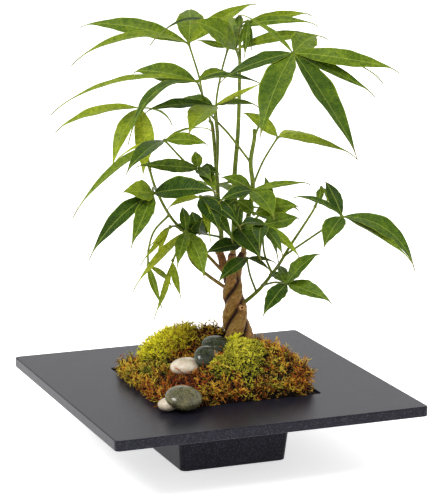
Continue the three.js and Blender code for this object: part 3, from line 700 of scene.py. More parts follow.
def knot(centre, facing, size):
    """An old branch scar: a ring with a sunken heart, on a skirt that dips into the bark. Over a disc that
    faces outwards, the height at a share r of the radius is a bump at r = 0.5 less a fall towards r = 1."""
    facing = unit(np.array(facing, float))
    across = unit(np.cross([0, 0, 1.0], facing))
    over = np.cross(facing, across)
    r = np.linspace(0.02, 1, KNOT_RINGS)[:, None]
    a = (2 * np.pi * np.arange(KNOT_SIDES) / KNOT_SIDES)[None]
    wobble = 1 + 0.14 * np.sin(3 * a + 1) + 0.08 * np.sin(5 * a)
    lift = size * (0.5 * np.exp(-(((r - 0.5) / 0.2) ** 2)) - 0.9 * ease(0.55, 1.0, r))
    flat = size * r * wobble
    disc = across * (flat * np.cos(a))[..., None] + over * (flat * np.sin(a) * 0.85)[..., None]
    points = np.array(centre, float) + disc + facing * np.broadcast_to(lift, flat.shape)[..., None]
    return points.reshape(-1, 3), np.repeat(1 - 0.9 * r, KNOT_SIDES, axis=1).ravel()


# %% [markdown]
# ## The bark
# Money tree bark is thin and nearly smooth, tan where it catches the light and brown in the creases;
# here both the light on the crowns and the shade in the creases are painted into its colour. A texture
# in object space would cut across the twist, so each strand carries its own distances along and around,
# and its depth in the crease, as values on its points. The finish is built up from them layer by layer,
# from the fibres to the painted shade between the strands.

# %% Bark finish
def money_tree_bark():
    """Tan bark, smooth for a tree's: fine fibres along each strand, olive and rusty patches, a painted
    highlight along each strand's crown, redder bark towards the top, and painted shade, brown that deepens
    towards the creases between strands."""
    material, tree, shader = new_material("money_tree_bark", 0.62, Specular_IOR_Level=0.3)
    along, around = point_value(tree, "along"), point_value(tree, "around")
    crease = point_value(tree, "crease")
    fine = use_group(tree, FIBRES, Along=along, Around=around, Stretch=0.2, Scale=1.3)
    tan = ramp(
        tree, fine.outputs["Grain"],
        (0.28, rgb(64, 40, 8)), (0.43, rgb(114, 80, 20)), (0.6, rgb(156, 116, 38)), (0.76, rgb(212, 168, 84)),
    )
    olive = mix(tree, fit(tree, fine.outputs["Patches"], 0.4, 0.62, 0, 0.6), tan, rgb(116, 94, 32))
    wide = noise(tree, object_place(tree), 85.0, 3.0)
    rusty = mix(tree, fit(tree, wide, 0.48, 0.68, 0, 0.7), olive, rgb(124, 66, 18))
    ring_wave = math(tree, "SINE", times(tree, along, 1.7))
    banded = mix(tree, fit(tree, ring_wave, 0.8, 1.0, 0, 0.3), rusty, rgb(96, 60, 28))
    lumps = noise(tree, object_place(tree), 260.0, 4.0, 0.65)
    # painted highlight: pale tan along each strand's crown, away from the creases
    crown_highlight_mask = times(tree, fit(tree, crease, 0.0, 0.5, 0.8, 0.0), fit(tree, fine.outputs["Grain"], 0.45, 0.7))
    painted_crown_highlight = mix(tree, crown_highlight_mask, banded, rgb(206, 166, 96))
    worn = mix(tree, fit(tree, lumps, 0.54, 0.34, 0, 0.55), painted_crown_highlight, rgb(90, 54, 16))
    redder = mix(tree, fit(tree, along, 142.0, 168.0, 0, 0.6), worn, rgb(96, 48, 20))
    # painted shade: brown that deepens towards the creases between the strands, darkest at them
    near = mix(tree, fit(tree, crease, 0.25, 0.9, 0, 0.85), redder, rgb(70, 36, 10))
    deep = mix(tree, fit(tree, crease, 0.8, 1.0), near, rgb(32, 14, 4))
    pruned = mix(tree, point_value(tree, "cut"), deep, rgb(64, 36, 20))
    scar = point_value(tree, "scar")
    ringed = ramp(
        tree, scar, (0.1, rgb(110, 70, 34)), (0.3, rgb(70, 40, 18)), (0.45, rgb(206, 160, 100)),
        (0.7, rgb(196, 146, 88)), (0.82, rgb(60, 32, 14)), (1.0, rgb(30, 16, 8)),
    )
    knotty = mix(tree, fit(tree, scar, 0.05, 0.15), pruned, ringed)
    tree.links.new(knotty, shader.inputs["Base Color"])
    bump(tree, shader, plus(tree, fine.outputs["Grain"], lumps), 0.0011, 0.9)
    return material


BARK = money_tree_bark()


# %% Build the braid
def make_strand(name, sizes):
    """One strand, and on one of the three the scar of a branch that was cut off."""
    parts = Parts()
    points, values = strand_shape(*sizes)
    parts.add(to_planter(points), *tube_faces(STRAND_RINGS, STRAND_SIDES), **values)
    if name == KNOT_ON:
        scar_points, scar_rings = knot(KNOT_PLACE, KNOT_FACING, KNOT_SIZE)
        no_triangles = np.zeros((0, 3), int)
        faces = grid_quads(KNOT_RINGS, KNOT_SIDES, True)
        parts.add(to_planter(scar_points), faces, no_triangles, scar=scar_rings, along=130.0)
    make_piece(name.replace("strand", "braid"), parts, [BARK], "bark", name)


for strand_name, strand_sizes in STRAND_TOPS.items():
    make_strand(strand_name, strand_sizes)

# %% [markdown]
# ## The leaves
# A money tree's leaf is a hand of leaflets at the end of a long thin stalk. Each leaflet is folded
# slightly along its midrib, bowed over its length, waved along its margins, and drawn out to a fine tip.
# All leaflets of a stem are worked out together, as one array of grids: one direction of a grid runs
# from the hub to the tip, the other round the blade, over its upper face and back under its lower one.
# The stems are tubes along smooth paths through a few points given on the plant.

# %% Leaflet midrib and outline
LEAFLET_ROWS = 52
STALK_LENGTH = 0.8  # a leaflet starts this far from its hub
HAIR_START = 0.86  # the share of the length from which the tip droops
HAIR_DROOP = 3.0
FULL_DROOP_LENGTH = 60  # a shorter leaflet droops less


def leaflet_midrib(hub, tip, face, bow, sway, t):
    """The midrib is a parabola from the hub to the tip, lifted by its bow and pushed aside by its sway;
    its last part droops by 3 mm times the square of (t - 0.86) / 0.14. Gives its points, its headings,
    and the directions to its side and up from it."""
    along = tip - hub
    length = np.linalg.norm(along, axis=1)
    side = unit(np.cross(along, face))
    normal = unit(np.cross(side, along))
    start = hub + unit(along) * STALK_LENGTH
    middle = (hub + tip) / 2 + normal * (2 * bow * length)[:, None]
    a, b, c = ((1 - t) ** 2)[:, None], (2 * t * (1 - t))[:, None], (t**2)[:, None]
    midrib = start[:, None] * a + middle[:, None] * b + tip[:, None] * c
    heading = (middle - start)[:, None] * (1 - t)[:, None] + (tip - middle)[:, None] * t[:, None]
    lift = unit(np.cross(side[:, None], unit(heading)))
    midrib = midrib + side[:, None] * (sway[:, None] * np.sin(np.pi * t))[..., None]
    past = np.clip((t - HAIR_START) / (1 - HAIR_START), 0, None)
    midrib[..., 2] -= HAIR_DROOP * np.minimum(1, length / FULL_DROOP_LENGTH)[:, None] * past**2
    return midrib, heading, side, lift


def leaflet_outline(length, width, t):
    """The half width along a leaflet is sin(pi t^0.8) to a power that grows towards the tip, more so in
    slender leaflets, so each is widest before its middle and ends in a hair. It is nowhere less than the
    short stalk at the hub, which thins out along the blade."""
    drawn_out = 0.3 + 0.6 * ease(0.25, 0.13, width / length)[:, None]
    body = np.sin(np.pi * t**0.8) ** (1.1 + drawn_out * t**2)
    stalk = 0.55 - 0.1 * ease(0.03, 0.12, t) - 0.25 * ease(0.965, 1, t)
    return np.maximum(width[:, None] / 2 * body, stalk)


# %% Leaflet section
UPPER_COLUMNS = 17
FOLD = 0.32  # rise of the margins above the midrib, as a share of the half width
BLADE_THICK = 0.34
STALK_EXTRA = 0.55  # how much thicker a leaflet is where it is as narrow as its stalk
RIB_DEPTH = 0.55


def leaflet_section(half, t, draw):
    """Across a leaflet x runs from -1 to 1 over the upper face and back under the lower one. The height is
    a soft fold, the square root of x^2 + 0.03, with waves that grow towards the margins and a twist, plus
    or minus half the thickness, and the midrib stands out below. Gives x, which face a column is on, the
    height and the distance aside."""
    upper = np.sin(np.linspace(-np.pi / 2, np.pi / 2, UPPER_COLUMNS))
    x = np.concatenate([upper, upper[-2:0:-1]])
    under = np.concatenate([np.zeros(UPPER_COLUMNS), np.ones(UPPER_COLUMNS - 2)])
    each = (len(half), 1, 1)
    half, t = half[..., None], t[:, None]
    bend = draw.uniform(0.75, 1.25, each)
    waves = draw.uniform(2.4, 4.2, each)
    phase = draw.uniform(0, 6.28, each) + np.where(x < 0, 0, 2.1)
    strong = draw.uniform(0.02, 0.07, each)
    twist = draw.uniform(-0.16, 0.16, each) * ease(0.15, 1, t)
    rise = half * FOLD * bend * (np.sqrt(x**2 + 0.03) - 0.17)
    wave = half * strong * x**2 * np.sin(2 * np.pi * waves * t + phase)
    height = rise + wave + half * x * twist
    thick = (BLADE_THICK + STALK_EXTRA * (1 - ease(0.5, 1.2, half))) * (1 - 0.6 * x**4)
    rib = RIB_DEPTH * np.exp(-((x * half / 0.55) ** 2)) * (1 - t) ** 0.5
    height = height + np.where(under == 0, thick / 2 - 0.25 * rib, -thick / 2 - rib)
    lobes = 1 + 0.6 * strong * x**2 * np.sin(2 * np.pi * 1.7 * waves * t + 2 * phase)
    return x, under, height, half * x * lobes


# %% Leaflets of a whole stem
def leaflet_grid(hub, tip, width, face, bow, sway, seed):
    """Points of all leaflets of one stem at once: midrib + aside times the side direction + height times
    the lift, and a point beyond either end. With them come the values that the finish reads."""
    draw = np.random.default_rng(seed)
    count = len(hub)
    length = np.linalg.norm(tip - hub, axis=1)
    t = np.linspace(0, 1, LEAFLET_ROWS) ** 0.94
    sway = np.where(np.isnan(sway), draw.uniform(-0.035, 0.035, count), sway) * length
    midrib, heading, side, lift = leaflet_midrib(hub, tip, face, bow, sway, t)
    half = leaflet_outline(length, width, t)
    x, under, height, aside = leaflet_section(half, t, draw)
    points = midrib[:, :, None] + side[:, None, None] * aside[..., None]
    points = points + lift[:, :, None] * height[..., None]
    first = midrib[:, 0] - unit(tip - hub) * 0.3
    last = midrib[:, -1] + unit(heading[:, -1]) * 0.25
    tone = draw.uniform(-0.09, 0.09, count)

    def for_ends(value, at_first, at_last):
        """A value at each point of the grids, then at the two points beyond their ends."""
        value = np.broadcast_to(value, points.shape[:3]).reshape(count, -1)
        return np.concatenate([value, np.full((count, 1), at_first), np.full((count, 1), at_last)], 1)

    values = {
        "run": for_ends((t * length[:, None])[..., None], 0, 100),
        "across": for_ends(np.abs(x) * half[..., None], 0, 0),
        "edge": for_ends(np.abs(x), 0, 0),
        "under": for_ends(under, 0, 0),
        "reach": for_ends(t[None, :, None], 0, 1),
    }
    return np.concatenate([points.reshape(count, -1, 3), first[:, None], last[:, None]], 1), values, tone


# %% Stalk shape
STALK_SIDES = 12
SWELL_FOOT, SWELL_HEAD = 1.8, 1.5  # how far the swelling at either end of a stalk reaches


def stalk_parts(parts, path_points, radii, steps, material, tone, swell=None, woody=0.0):
    """A tube along a smooth path. Its radius runs from one value to the other, with a swelling like a
    knuckle at either end: radius (1 + swell e^(-distance / reach)). woody is 1 over the first part of a
    stem and fades out beyond it."""
    path = smooth_path(path_points, steps)
    run = np.concatenate([[0], np.cumsum(np.linalg.norm(np.diff(path, axis=0), axis=1))])
    radius = np.linspace(radii[0], radii[1], steps)
    foot, head = swell or (0, 0)
    radius = radius * (1 + foot * np.exp(-run / SWELL_FOOT) + head * np.exp(-(run[-1] - run) / SWELL_HEAD))
    points = tube_points(path[None], radius[None], STALK_SIDES, 0.6)
    wood = (1 - ease(0.4 * woody, 1.3 * woody + 0.1, run))[None]
    parts.add(
        to_planter(points), *tube_faces(steps, STALK_SIDES), material,
        run=ring_values(run[None], STALK_SIDES), tone=tone, woody=ring_values(wood, STALK_SIDES),
    )


# %% [markdown]
# ## The leaf finish
# A leaflet's upper face is satin green with a pale midrib and paler side veins that leave it at a steep
# angle and curve towards the margin. Between the veins the blade bulges a little. The underside is
# paler and duller, and the hair-thin tip dries to a straw brown. The colour starts from the leaf's tone,
# which each mesh carries as a value: partly the leaf's own green and partly painted light and shade,
# lighter on the outer leaves and darker in the middle and low in the plant. The veins are worked out
# from the distances along and across the blade, because a painted picture would blur at this size.

# %% Leaf finish
VEIN_PITCH = 2.8  # millimetres along the midrib from one side vein to the next
FULL_TURN = 2 * np.pi


def vein_phase(tree, run, across):
    """(run - 0.9 across + 0.02 across^2 + a slow drift) / pitch: a whole number on each side vein."""
    slant = math(tree, "SUBTRACT", run, times(tree, across, 0.9))
    curl = times(tree, times(tree, across, across), 0.02)
    drift = times(tree, noise(tree, object_place(tree), 90.0, 2.0), 2.4)
    return math(tree, "DIVIDE", plus(tree, plus(tree, slant, curl), drift), VEIN_PITCH)


def leaf_green(tree, fine):
    """Green by the leaf's tone, partly its own green and partly painted light and shade, with cloudy and
    quilted patches lighter and darker.
    """
    clouds = noise(tree, object_place(tree), 55.0, 4.0)
    quilt = noise(tree, object_place(tree), 300.0, 3.0, 0.6)
    cloudy, quilted = fit(tree, clouds, 0.25, 0.75, -0.12, 0.12), fit(tree, quilt, 0.3, 0.7, -0.16, 0.16)
    # the tone holds painted light and shade as well as the leaf's own green
    tone_light_and_shade = plus(tree, point_value(tree, "tone"), plus(tree, cloudy, quilted))
    green = ramp(
        tree, tone_light_and_shade,
        (0.0, rgb(27, 50, 10)), (0.25, rgb(58, 82, 16)), (0.5, rgb(94, 114, 22)), (0.75, rgb(127, 142, 28)),
        (1.0, rgb(162, 170, 38)),
    )
    return mix(tree, fit(tree, fine, 0.4, 0.66, 0.0, 0.45), green, rgb(40, 62, 10))


def leaf_blade():
    """Over the green lie, in this order, the side veins, the midrib, the pale margin, the paler underside,
    blemishes near the margin and the dried tip. A peak of the distance to the nearest whole number of the
    vein phase draws the veins, and its cosine makes the bulges between them."""
    material, tree, shader = new_material("leaf_blade", 0.45, Specular_IOR_Level=0.09)
    run, across = point_value(tree, "run"), point_value(tree, "across")
    edge, under = point_value(tree, "edge"), point_value(tree, "under")
    phase = vein_phase(tree, run, across)
    swing = math(tree, "ABSOLUTE", math(tree, "SUBTRACT", math(tree, "FRACT", phase), 0.5))
    vein = times(tree, fit(tree, swing, 0.44, 0.5, 0.0, 1.0), fit(tree, edge, 0.55, 0.98, 1.0, 0.15))
    midrib = fit(tree, across, 0.15, 0.6, 1.0, 0.0)
    fine = noise(tree, object_place(tree), 900.0, 3.0)
    veined = mix(tree, times(tree, vein, 0.24), leaf_green(tree, fine), rgb(158, 172, 56))
    ribbed = mix(tree, times(tree, midrib, 0.34), veined, rgb(158, 172, 74))
    rimmed = mix(tree, fit(tree, edge, 0.9, 0.99, 0.0, 0.6), ribbed, rgb(150, 164, 40))
    below = mix(tree, times(tree, under, 0.4), rimmed, rgb(112, 132, 40))
    blemish = noise(tree, object_place(tree), 210.0, 3.0, 0.7)
    spotted = times(tree, fit(tree, blemish, 0.62, 0.7), fit(tree, edge, 0.3, 0.9, 0.1, 0.75))
    aged = mix(tree, spotted, below, rgb(74, 64, 20))
    dried = mix(tree, fit(tree, point_value(tree, "reach"), 0.9, 0.97, 0.0, 0.75), aged, rgb(112, 96, 50))
    tree.links.new(dried, shader.inputs["Base Color"])
    dull = plus(tree, fit(tree, fine, 0.3, 0.7, 0.34, 0.46), times(tree, under, 0.2))
    tree.links.new(dull, shader.inputs["Roughness"])
    bulge = math(tree, "COSINE", times(tree, phase, FULL_TURN))
    relief = math(tree, "SUBTRACT", times(tree, bulge, 0.5), times(tree, midrib, 1.2))
    bump(tree, shader, plus(tree, relief, times(tree, fine, 0.3)), 0.00022, 0.6)
    return material


def leaf_stalk():
    """Green, with fine fibres; woody brown where a stem leaves the bark; stalks of leaves of low tone are
    darker, painted shade as in the leaves' tone.
    """
    material, tree, shader = new_material("leaf_stalk", 0.5, Specular_IOR_Level=0.2)
    run = point_value(tree, "run")
    fine = use_group(tree, FIBRES, Along=run, Around=0.0, Stretch=0.2, Scale=1.2)
    place = object_place(tree)
    blotch = noise(tree, place, 260.0, 4.0)
    green = ramp(tree, blotch, (0.3, rgb(72, 88, 16)), (0.55, rgb(98, 112, 24)), (0.75, rgb(134, 142, 44)))
    lit = mix(tree, times(tree, fine.outputs["Grain"], 0.3), green, rgb(70, 86, 30))
    brown = mix(tree, fit(tree, blotch, 0.3, 0.7), rgb(104, 76, 36), rgb(142, 112, 58))
    wood = mix(tree, point_value(tree, "woody"), lit, brown)
    # painted shade: stalks of leaves of low tone are darker, as their leaves are
    deep = mix(tree, fit(tree, point_value(tree, "tone"), 0.1, 0.5, 0.4, 0.0), wood, rgb(60, 76, 24))
    tree.links.new(deep, shader.inputs["Base Color"])
    bump(tree, shader, blotch, 0.0004, 0.6)
    return material


LEAF_BLADE = leaf_blade()
LEAF_STALK = leaf_stalk()


# %% [markdown]
# ## The leafy stems
# A green shoot grows from the top of each strand, and three side branches come out of the braid. No two
# leaves of a real plant match, so copies of one leaf would look like plastic. Each stem has a cell of its
# own with the few points that its stalks and leaflets are drawn through, all in the plant's frame.

# %% How a leafy stem is put together
# A row of tips is x, y, z, then where it differs from the rest the leaflet's width, its bow and its sway.
# ratio is the width of a leaf's other leaflets as a share of their length, and face the direction of
# their blades. tone runs from 0, deep green, to 1, yellow-green; it holds the leaves' own greens and
# painted light and shade as well, lighter on the outer leaves and darker in the middle and low in the
# plant. faces and tones give single leaflets, by their number, a blade direction or a tone of their own.
VIEWER = [0, -0.85, 0.5]  # a blade turned towards the viewer's side
TILTED = [0, -0.5, 0.85]
USUAL_RATIO = 0.24  # a leaflet's width as a share of its length
USUAL_BOW = 0.08  # the height of its bow as a share of its length
USUAL_FACE = [0, -0.12, 1]
USUAL_WOODY = 7.0  # the length of a stem that is brown like bark
PETIOLE_RADII = (1.035, 0.9)
STEM_STEPS, PETIOLE_STEPS = 14, 12  # rings for each point of the path
BLADE, STALK = 0, 1  # a leafy piece's two finishes, by their place in its list


def make_shoot(name, seed, shoot):
    """The stalks one by one, then all leaflets together."""
    parts = Parts()
    stem_steps, woody = STEM_STEPS * len(shoot["stem"]), shoot.get("woody", USUAL_WOODY)
    stalk_parts(parts, shoot["stem"], shoot["radii"], stem_steps, STALK, 0.5, (0.25, 0.1), woody)
    hubs, tips, widths, faces, bows, sways, tones = [], [], [], [], [], [], []
    for leaf in shoot["leaves"]:
        tone = leaf["tone"]
        steps = PETIOLE_STEPS * len(leaf["petiole"])
        stalk_parts(parts, leaf["petiole"], PETIOLE_RADII, steps, STALK, tone, (0.7, 1.1))
        hub = np.array(leaf["petiole"][-1], float)
        for number, (x, y, z, *own) in enumerate(leaf["tips"]):
            reach = np.linalg.norm(np.array([x, y, z]) - hub)
            hubs.append(hub)
            tips.append([x, y, z])
            widths.append(own[0] if own else leaf.get("ratio", USUAL_RATIO) * reach)
            bows.append(own[1] if len(own) > 1 else USUAL_BOW)
            sways.append(own[2] if len(own) > 2 else np.nan)
            faces.append(leaf.get("faces", {}).get(number, leaf.get("face", USUAL_FACE)))
            tones.append(leaf.get("tones", {}).get(number, tone))
    grid, values, own_tone = leaflet_grid(
        np.array(hubs), np.array(tips, float), np.array(widths, float), unit(np.array(faces, float)),
        np.array(bows, float), np.array(sways, float), seed,
    )
    count, per = grid.shape[:2]
    values["tone"] = np.repeat(np.array(tones) + own_tone, per)
    quads, tris = tube_faces(LEAFLET_ROWS, 2 * UPPER_COLUMNS - 2, count)
    parts.add(to_planter(grid), quads, tris, BLADE, **values)
    make_piece("leaves_" + name, parts, [LEAF_BLADE, LEAF_STALK], "leaf", name)


# %% Left shoot
make_shoot("shoot_left", seed=40, shoot={
    "stem": [[3, 26, 172], [6, 26, 187], [3, 24, 222], [2, 23, 240], [-2, 22, 285], [-5, 21, 291]],
    "radii": (2.2, 1.5), "woody": 16.0,
    "leaves": [
        {
            "petiole": [[-2, 22, 284], [-8, 8, 308], [-15, -25, 332]], "tone": 0.55,
            "tips": [
                [-70, -12, 339, 18, 0.08], [-136, -60, 311, 15, 0.1, 0.02], [-71, -85, 289, 13, 0.2],
                [11, 5, 336, 10], [43, -55, 333, 9, 0.12],
            ],
            "faces": {0: VIEWER, 3: VIEWER, 4: TILTED},
            "tones": {0: 0.35, 1: 0.6, 2: 0.3, 3: 0.4, 4: 0.2},
        },
        {
            "petiole": [[2, 23, 242], [2, 12, 275], [-1, -5, 308]], "tone": 0.35,
            "tips": [
                [-60, -22, 306, 13, 0.05], [-31, 20, 310, 12], [-22, -50, 292, 24], [37, -25, 312, 9],
                [42, -40, 334, 5, 0.01, 0.0],
            ],
            "faces": {0: TILTED, 1: TILTED, 3: TILTED, 4: VIEWER},
            "tones": {0: 0.2, 1: 0.35, 2: 0.6, 3: 0.3, 4: 0.95},
        },
        {
            "petiole": [[2, 23, 240], [-20, -5, 255], [-42, -45, 285]], "tone": 0.5,
            "tips": [
                [-116, -95, 231, 13, 0.1], [-72, -100, 268, 18], [-83, -60, 270, 6], [-5, -40, 281, 12],
                [-2, -10, 289, 5],
            ],
            "faces": {3: VIEWER}, "tones": {0: 0.55, 1: 0.26, 2: 1.0, 4: 0.75},
        },
        {
            "petiole": [[2, 23, 238], [-7, 8, 247], [-13, -5, 254]], "ratio": 0.3, "tone": 0.35,
            "tips": [
                [-67, -46, 264, 13, 0.05], [-17, 4, 268, 10], [5, -25, 253, 11], [-2, -35, 249, 12],
                [2, -39, 240, 12, 0.05],
            ],
            "faces": {0: VIEWER, 1: [0, -1, 0.1], 2: VIEWER, 3: VIEWER, 4: VIEWER},
            "tones": {1: 0.5, 2: 0.12, 4: 0.4},
        },
        {
            "petiole": [[3, 24, 222], [-5, 4, 228], [-12, -20, 232]], "face": [0, -0.5, 0.8], "tone": 0.3,
            "tips": [
                [4, -45, 208, 20], [-3, -50, 200, 8], [-40, -40, 226, 9], [16, -30, 196, 14],
                [23, -42, 210, 14],
            ],
            "tones": {0: 0.08, 1: 0.75, 2: 0.85, 3: 0.25, 4: 0.05},
        },
        {
            "petiole": [[6, 26, 187], [-3, 16, 191], [-13, 5, 195]], "tone": 0.12,
            "tips": [[-4, -10, 216, 14], [-20, 20, 212, 13], [-10, -22, 214, 14], [-34, -6, 206, 11]],
            "face": [0, -0.9, 0.3],
        },
        {
            "petiole": [[2, 23, 244], [3, 20, 276], [1, 16, 306], [5, 17, 332], [11, 18, 355]],
            "face": VIEWER, "tone": 0.55,
            "tips": [[-16, 18, 362, 6, 0.02]],
        },
        {
            "petiole": [[4, 25, 210], [0, 42, 222], [-2, 58, 226]], "face": [0, 0.3, 0.9], "tone": 0.3,
            "tips": [[-30, 78, 226], [-14, 112, 212], [20, 104, 208], [30, 76, 224]],
        },
    ],
})

# %% Middle shoot
make_shoot("shoot_middle", seed=41, shoot={
    "stem": [
        [16, 14, 172], [17, 15, 200], [17, 15, 240], [20, 17, 283], [21, 18, 325], [21, 17, 366],
        [20, 12, 373],
    ],
    "radii": (2.6, 1.2), "woody": 14.0,
    "leaves": [
        {
            "petiole": [[21, 18, 325], [21, 15, 342], [18, 9, 355]], "tone": 0.6,
            "tips": [
                [-20, -20, 383, 24], [-55, -20, 364, 10, 0.28], [97, 0, 367, 10, 0.12], [7, 70, 377],
            ],
            "faces": {0: [0.5, -0.75, 0.5], 2: VIEWER}, "tones": {0: 0.45, 1: 0.02, 2: 0.6, 3: 0.4},
        },
        {
            "petiole": [[21, 18, 364], [20, 14, 369], [20, 12, 373]], "tone": 0.95,
            "tips": [[83, 20, 385, 10, 0.16], [88, -10, 379, 9, 0.14], [21, 25, 383, 7]],
            "faces": {0: VIEWER, 1: VIEWER}, "tones": {0: 0.65, 1: 0.45, 2: 0.25},
        },
        {
            "petiole": [[17, 15, 218], [17, 9, 223], [18, 3, 226]], "face": VIEWER, "tone": 0.14,
            "tips": [[5, 6, 211, 12], [20, 8, 197, 11]],
        },
        {
            "petiole": [[20, 14, 369], [23, 4, 378], [28, 0, 380]], "tone": 0.2,
            "tips": [[25, -6, 350, 6], [31, -2, 356, 6], [20, -4, 357, 5]],
            "face": [0, -1, 0.1],
        },
    ],
})

# %% Right shoot
make_shoot("shoot_right", seed=42, shoot={
    "stem": [[25, 19, 172], [29, 15, 205], [33, 10, 234], [31, 8, 257], [34, 6, 278], [34, 6, 286]],
    "radii": (2.5, 1.7), "woody": 14.0,
    "leaves": [
        {
            "petiole": [[31, 8, 257], [12, 6, 282], [-7, 13, 303], [-14, 20, 330], [-23, 25, 358]],
            "tone": 0.65,
            "tips": [
                [-119, 55, 370, 16, 0.1], [-122, -10, 345, 14, 0.14], [-24, 75, 383, 24],
                [36, 25, 394, 13, 0.18],
            ],
            "faces": {0: VIEWER, 1: [0, -0.3, 1], 3: VIEWER},
            "tones": {0: 0.5, 1: 0.62, 2: 0.42, 3: 0.5},
        },
        {
            "petiole": [[34, 6, 280], [42, -5, 302], [52, -25, 334], [65, -45, 359]], "tone": 0.5,
            "tips": [
                [86, -9, 370, 22, 0.02], [154, -45, 345, 15, 0.14], [140, -50, 337, 8, 0.1],
                [133, -60, 327, 13, 0.04], [117, -95, 281, 26, 0.08, 0.05], [37, -100, 298, 27],
                [4, -60, 338, 15], [19, -12, 389, 9, 0.03],
            ],
            "faces": {0: VIEWER, 1: VIEWER, 3: TILTED, 6: [0, -0.65, 0.75]},
            "tones": {0: 0.45, 1: 0.5, 2: 0.5, 3: 0.35, 4: 0.28, 5: 0.32, 6: 0.22},
        },
        {
            "petiole": [[33, 10, 236], [42, 20, 256], [55, 30, 276]], "tone": 0.8,
            "tips": [[123, 15, 262, 11, 0.07], [23, 25, 299, 12], [97, 45, 271, 10], [82, 62, 272, 10]],
            "faces": {0: TILTED, 1: VIEWER}, "tones": {0: 0.6, 1: 0.6},
        },
        {
            "petiole": [[33, 10, 232], [32, 4, 234], [32, -3, 235]], "ratio": 0.3,
            "face": [0, -0.5, 0.85], "tone": 0.45,
            "tips": [
                [83, -10, 243, 9, 0.04], [51, -35, 217, 21], [5, -15, 249, 13], [3, -35, 231, 12],
                [20, 0, 221, 7],
            ],
            "faces": {2: VIEWER, 3: VIEWER}, "tones": {1: 0.38, 2: 0.45, 3: 0.15},
        },
        {
            "petiole": [[30, 14, 213], [33, 2, 214], [34, -8, 215]], "face": VIEWER, "tone": 0.62,
            "tips": [[73, 0, 221, 17, 0.12], [18, -5, 227, 12], [54, 16, 206, 9]],
            "tones": {0: 0.45, 1: 0.4, 2: 0.2},
        },
        {
            "petiole": [[29, 15, 205], [24, 4, 204], [20, -8, 203]], "face": [0, -0.5, 0.8], "tone": 0.1,
            "tips": [
                [40, -42, 183, 25], [17, -15, 226, 11], [22, -16, 224, 10], [49, -15, 204, 15, 0.06],
            ],
        },
        {
            "petiole": [[29, 15, 200], [40, 34, 206], [46, 48, 208]], "face": [0, 0.3, 0.9], "tone": 0.35,
            "tips": [[20, 80, 196], [50, 104, 196], [76, 74, 202, 15], [44, 62, 236, 10]],
        },
        {
            "petiole": [[26, 18, 182], [26, 5, 186], [25, -8, 188]], "face": [0, -0.6, 0.8], "tone": 0.06,
            "tips": [[-8, -25, 184, 16]],
        },
    ],
})

# %% Upper left branch
make_shoot("branch_left_high", seed=43, shoot={
    "stem": [
        [9, 24, 155], [-6, 20, 172], [-26, 8, 195], [-39, -4, 213], [-50, -18, 238], [-56, -16, 257],
    ],
    "radii": (1.5, 1.2), "woody": 24.0,
    "leaves": [
        {
            "petiole": [[-55, -16, 254], [-59, -14, 279], [-63, -10, 307]], "tone": 0.85,
            "tips": [
                [-135, -25, 290, 16], [-86, -45, 261, 15, 0.17], [-61, -25, 251, 17, 0.12],
                [-37, 30, 287, 6],
            ],
            "faces": {0: [0, -0.3, 1]}, "tones": {0: 0.7, 1: 0.68, 3: 0.4},
        },
        {
            "petiole": [[-50, -18, 238], [-52, -38, 243], [-51, -62, 243]], "ratio": 0.3,
            "face": [0, -0.75, 0.65], "tone": 0.3,
            "tips": [
                [3, -85, 250, 22], [-76, -85, 249, 19], [-103, -100, 196, 15, 0.14], [-68, -105, 207, 15],
            ],
            "tones": {0: 0.02, 1: 0.55, 2: 0.0, 3: 0.3}, "faces": {1: VIEWER},
        },
        {
            "petiole": [[-29, 5, 198], [-34, -4, 203], [-38, -12, 204]], "tone": 0.85,
            "tips": [[-57, -35, 190, 5, 0.2], [-63, -45, 178, 5], [-50, -20, 176, 4, 0.2]],
            "face": [0, -1, 0.2],
        },
        {
            "petiole": [[-39, -4, 213], [-52, 0, 198], [-57, -5, 182], [-57, -12, 170]], "tone": 0.6,
            "face": VIEWER,
            "tips": [[-44, -34, 137, 6.5, 0.15], [-38, 10, 149, 5.5]],
        },
    ],
})

# %% Lower left branch
make_shoot("branch_left_low", seed=44, shoot={
    "stem": [[14, 20, 140], [-7, 16, 156], [-20, 4, 171], [-24, -14, 191], [-24, -22, 199]],
    "radii": (1.7, 1.0), "woody": 30.0,
    "leaves": [
        {
            "petiole": [[-24, -14, 192], [-24, -22, 199], [-24, -30, 204]],
            "face": [0, -0.4, 0.9], "tone": 0.45,
            "tips": [[-68, -65, 162, 9], [-8, -55, 170, 18], [-31, -60, 180, 12], [-28, -10, 222, 9]],
            "faces": {3: [0, -1, 0.1]}, "tones": {0: 0.85, 3: 0.25},
        },
        {
            "petiole": [[-24, -14, 190], [-31, -12, 184], [-36, -12, 174]], "tone": 0.75,
            "tips": [[-52, -12, 124, 5.5], [-28, -25, 144, 6.5]],
            "face": [0, -1, 0.1],
        },
    ],
})

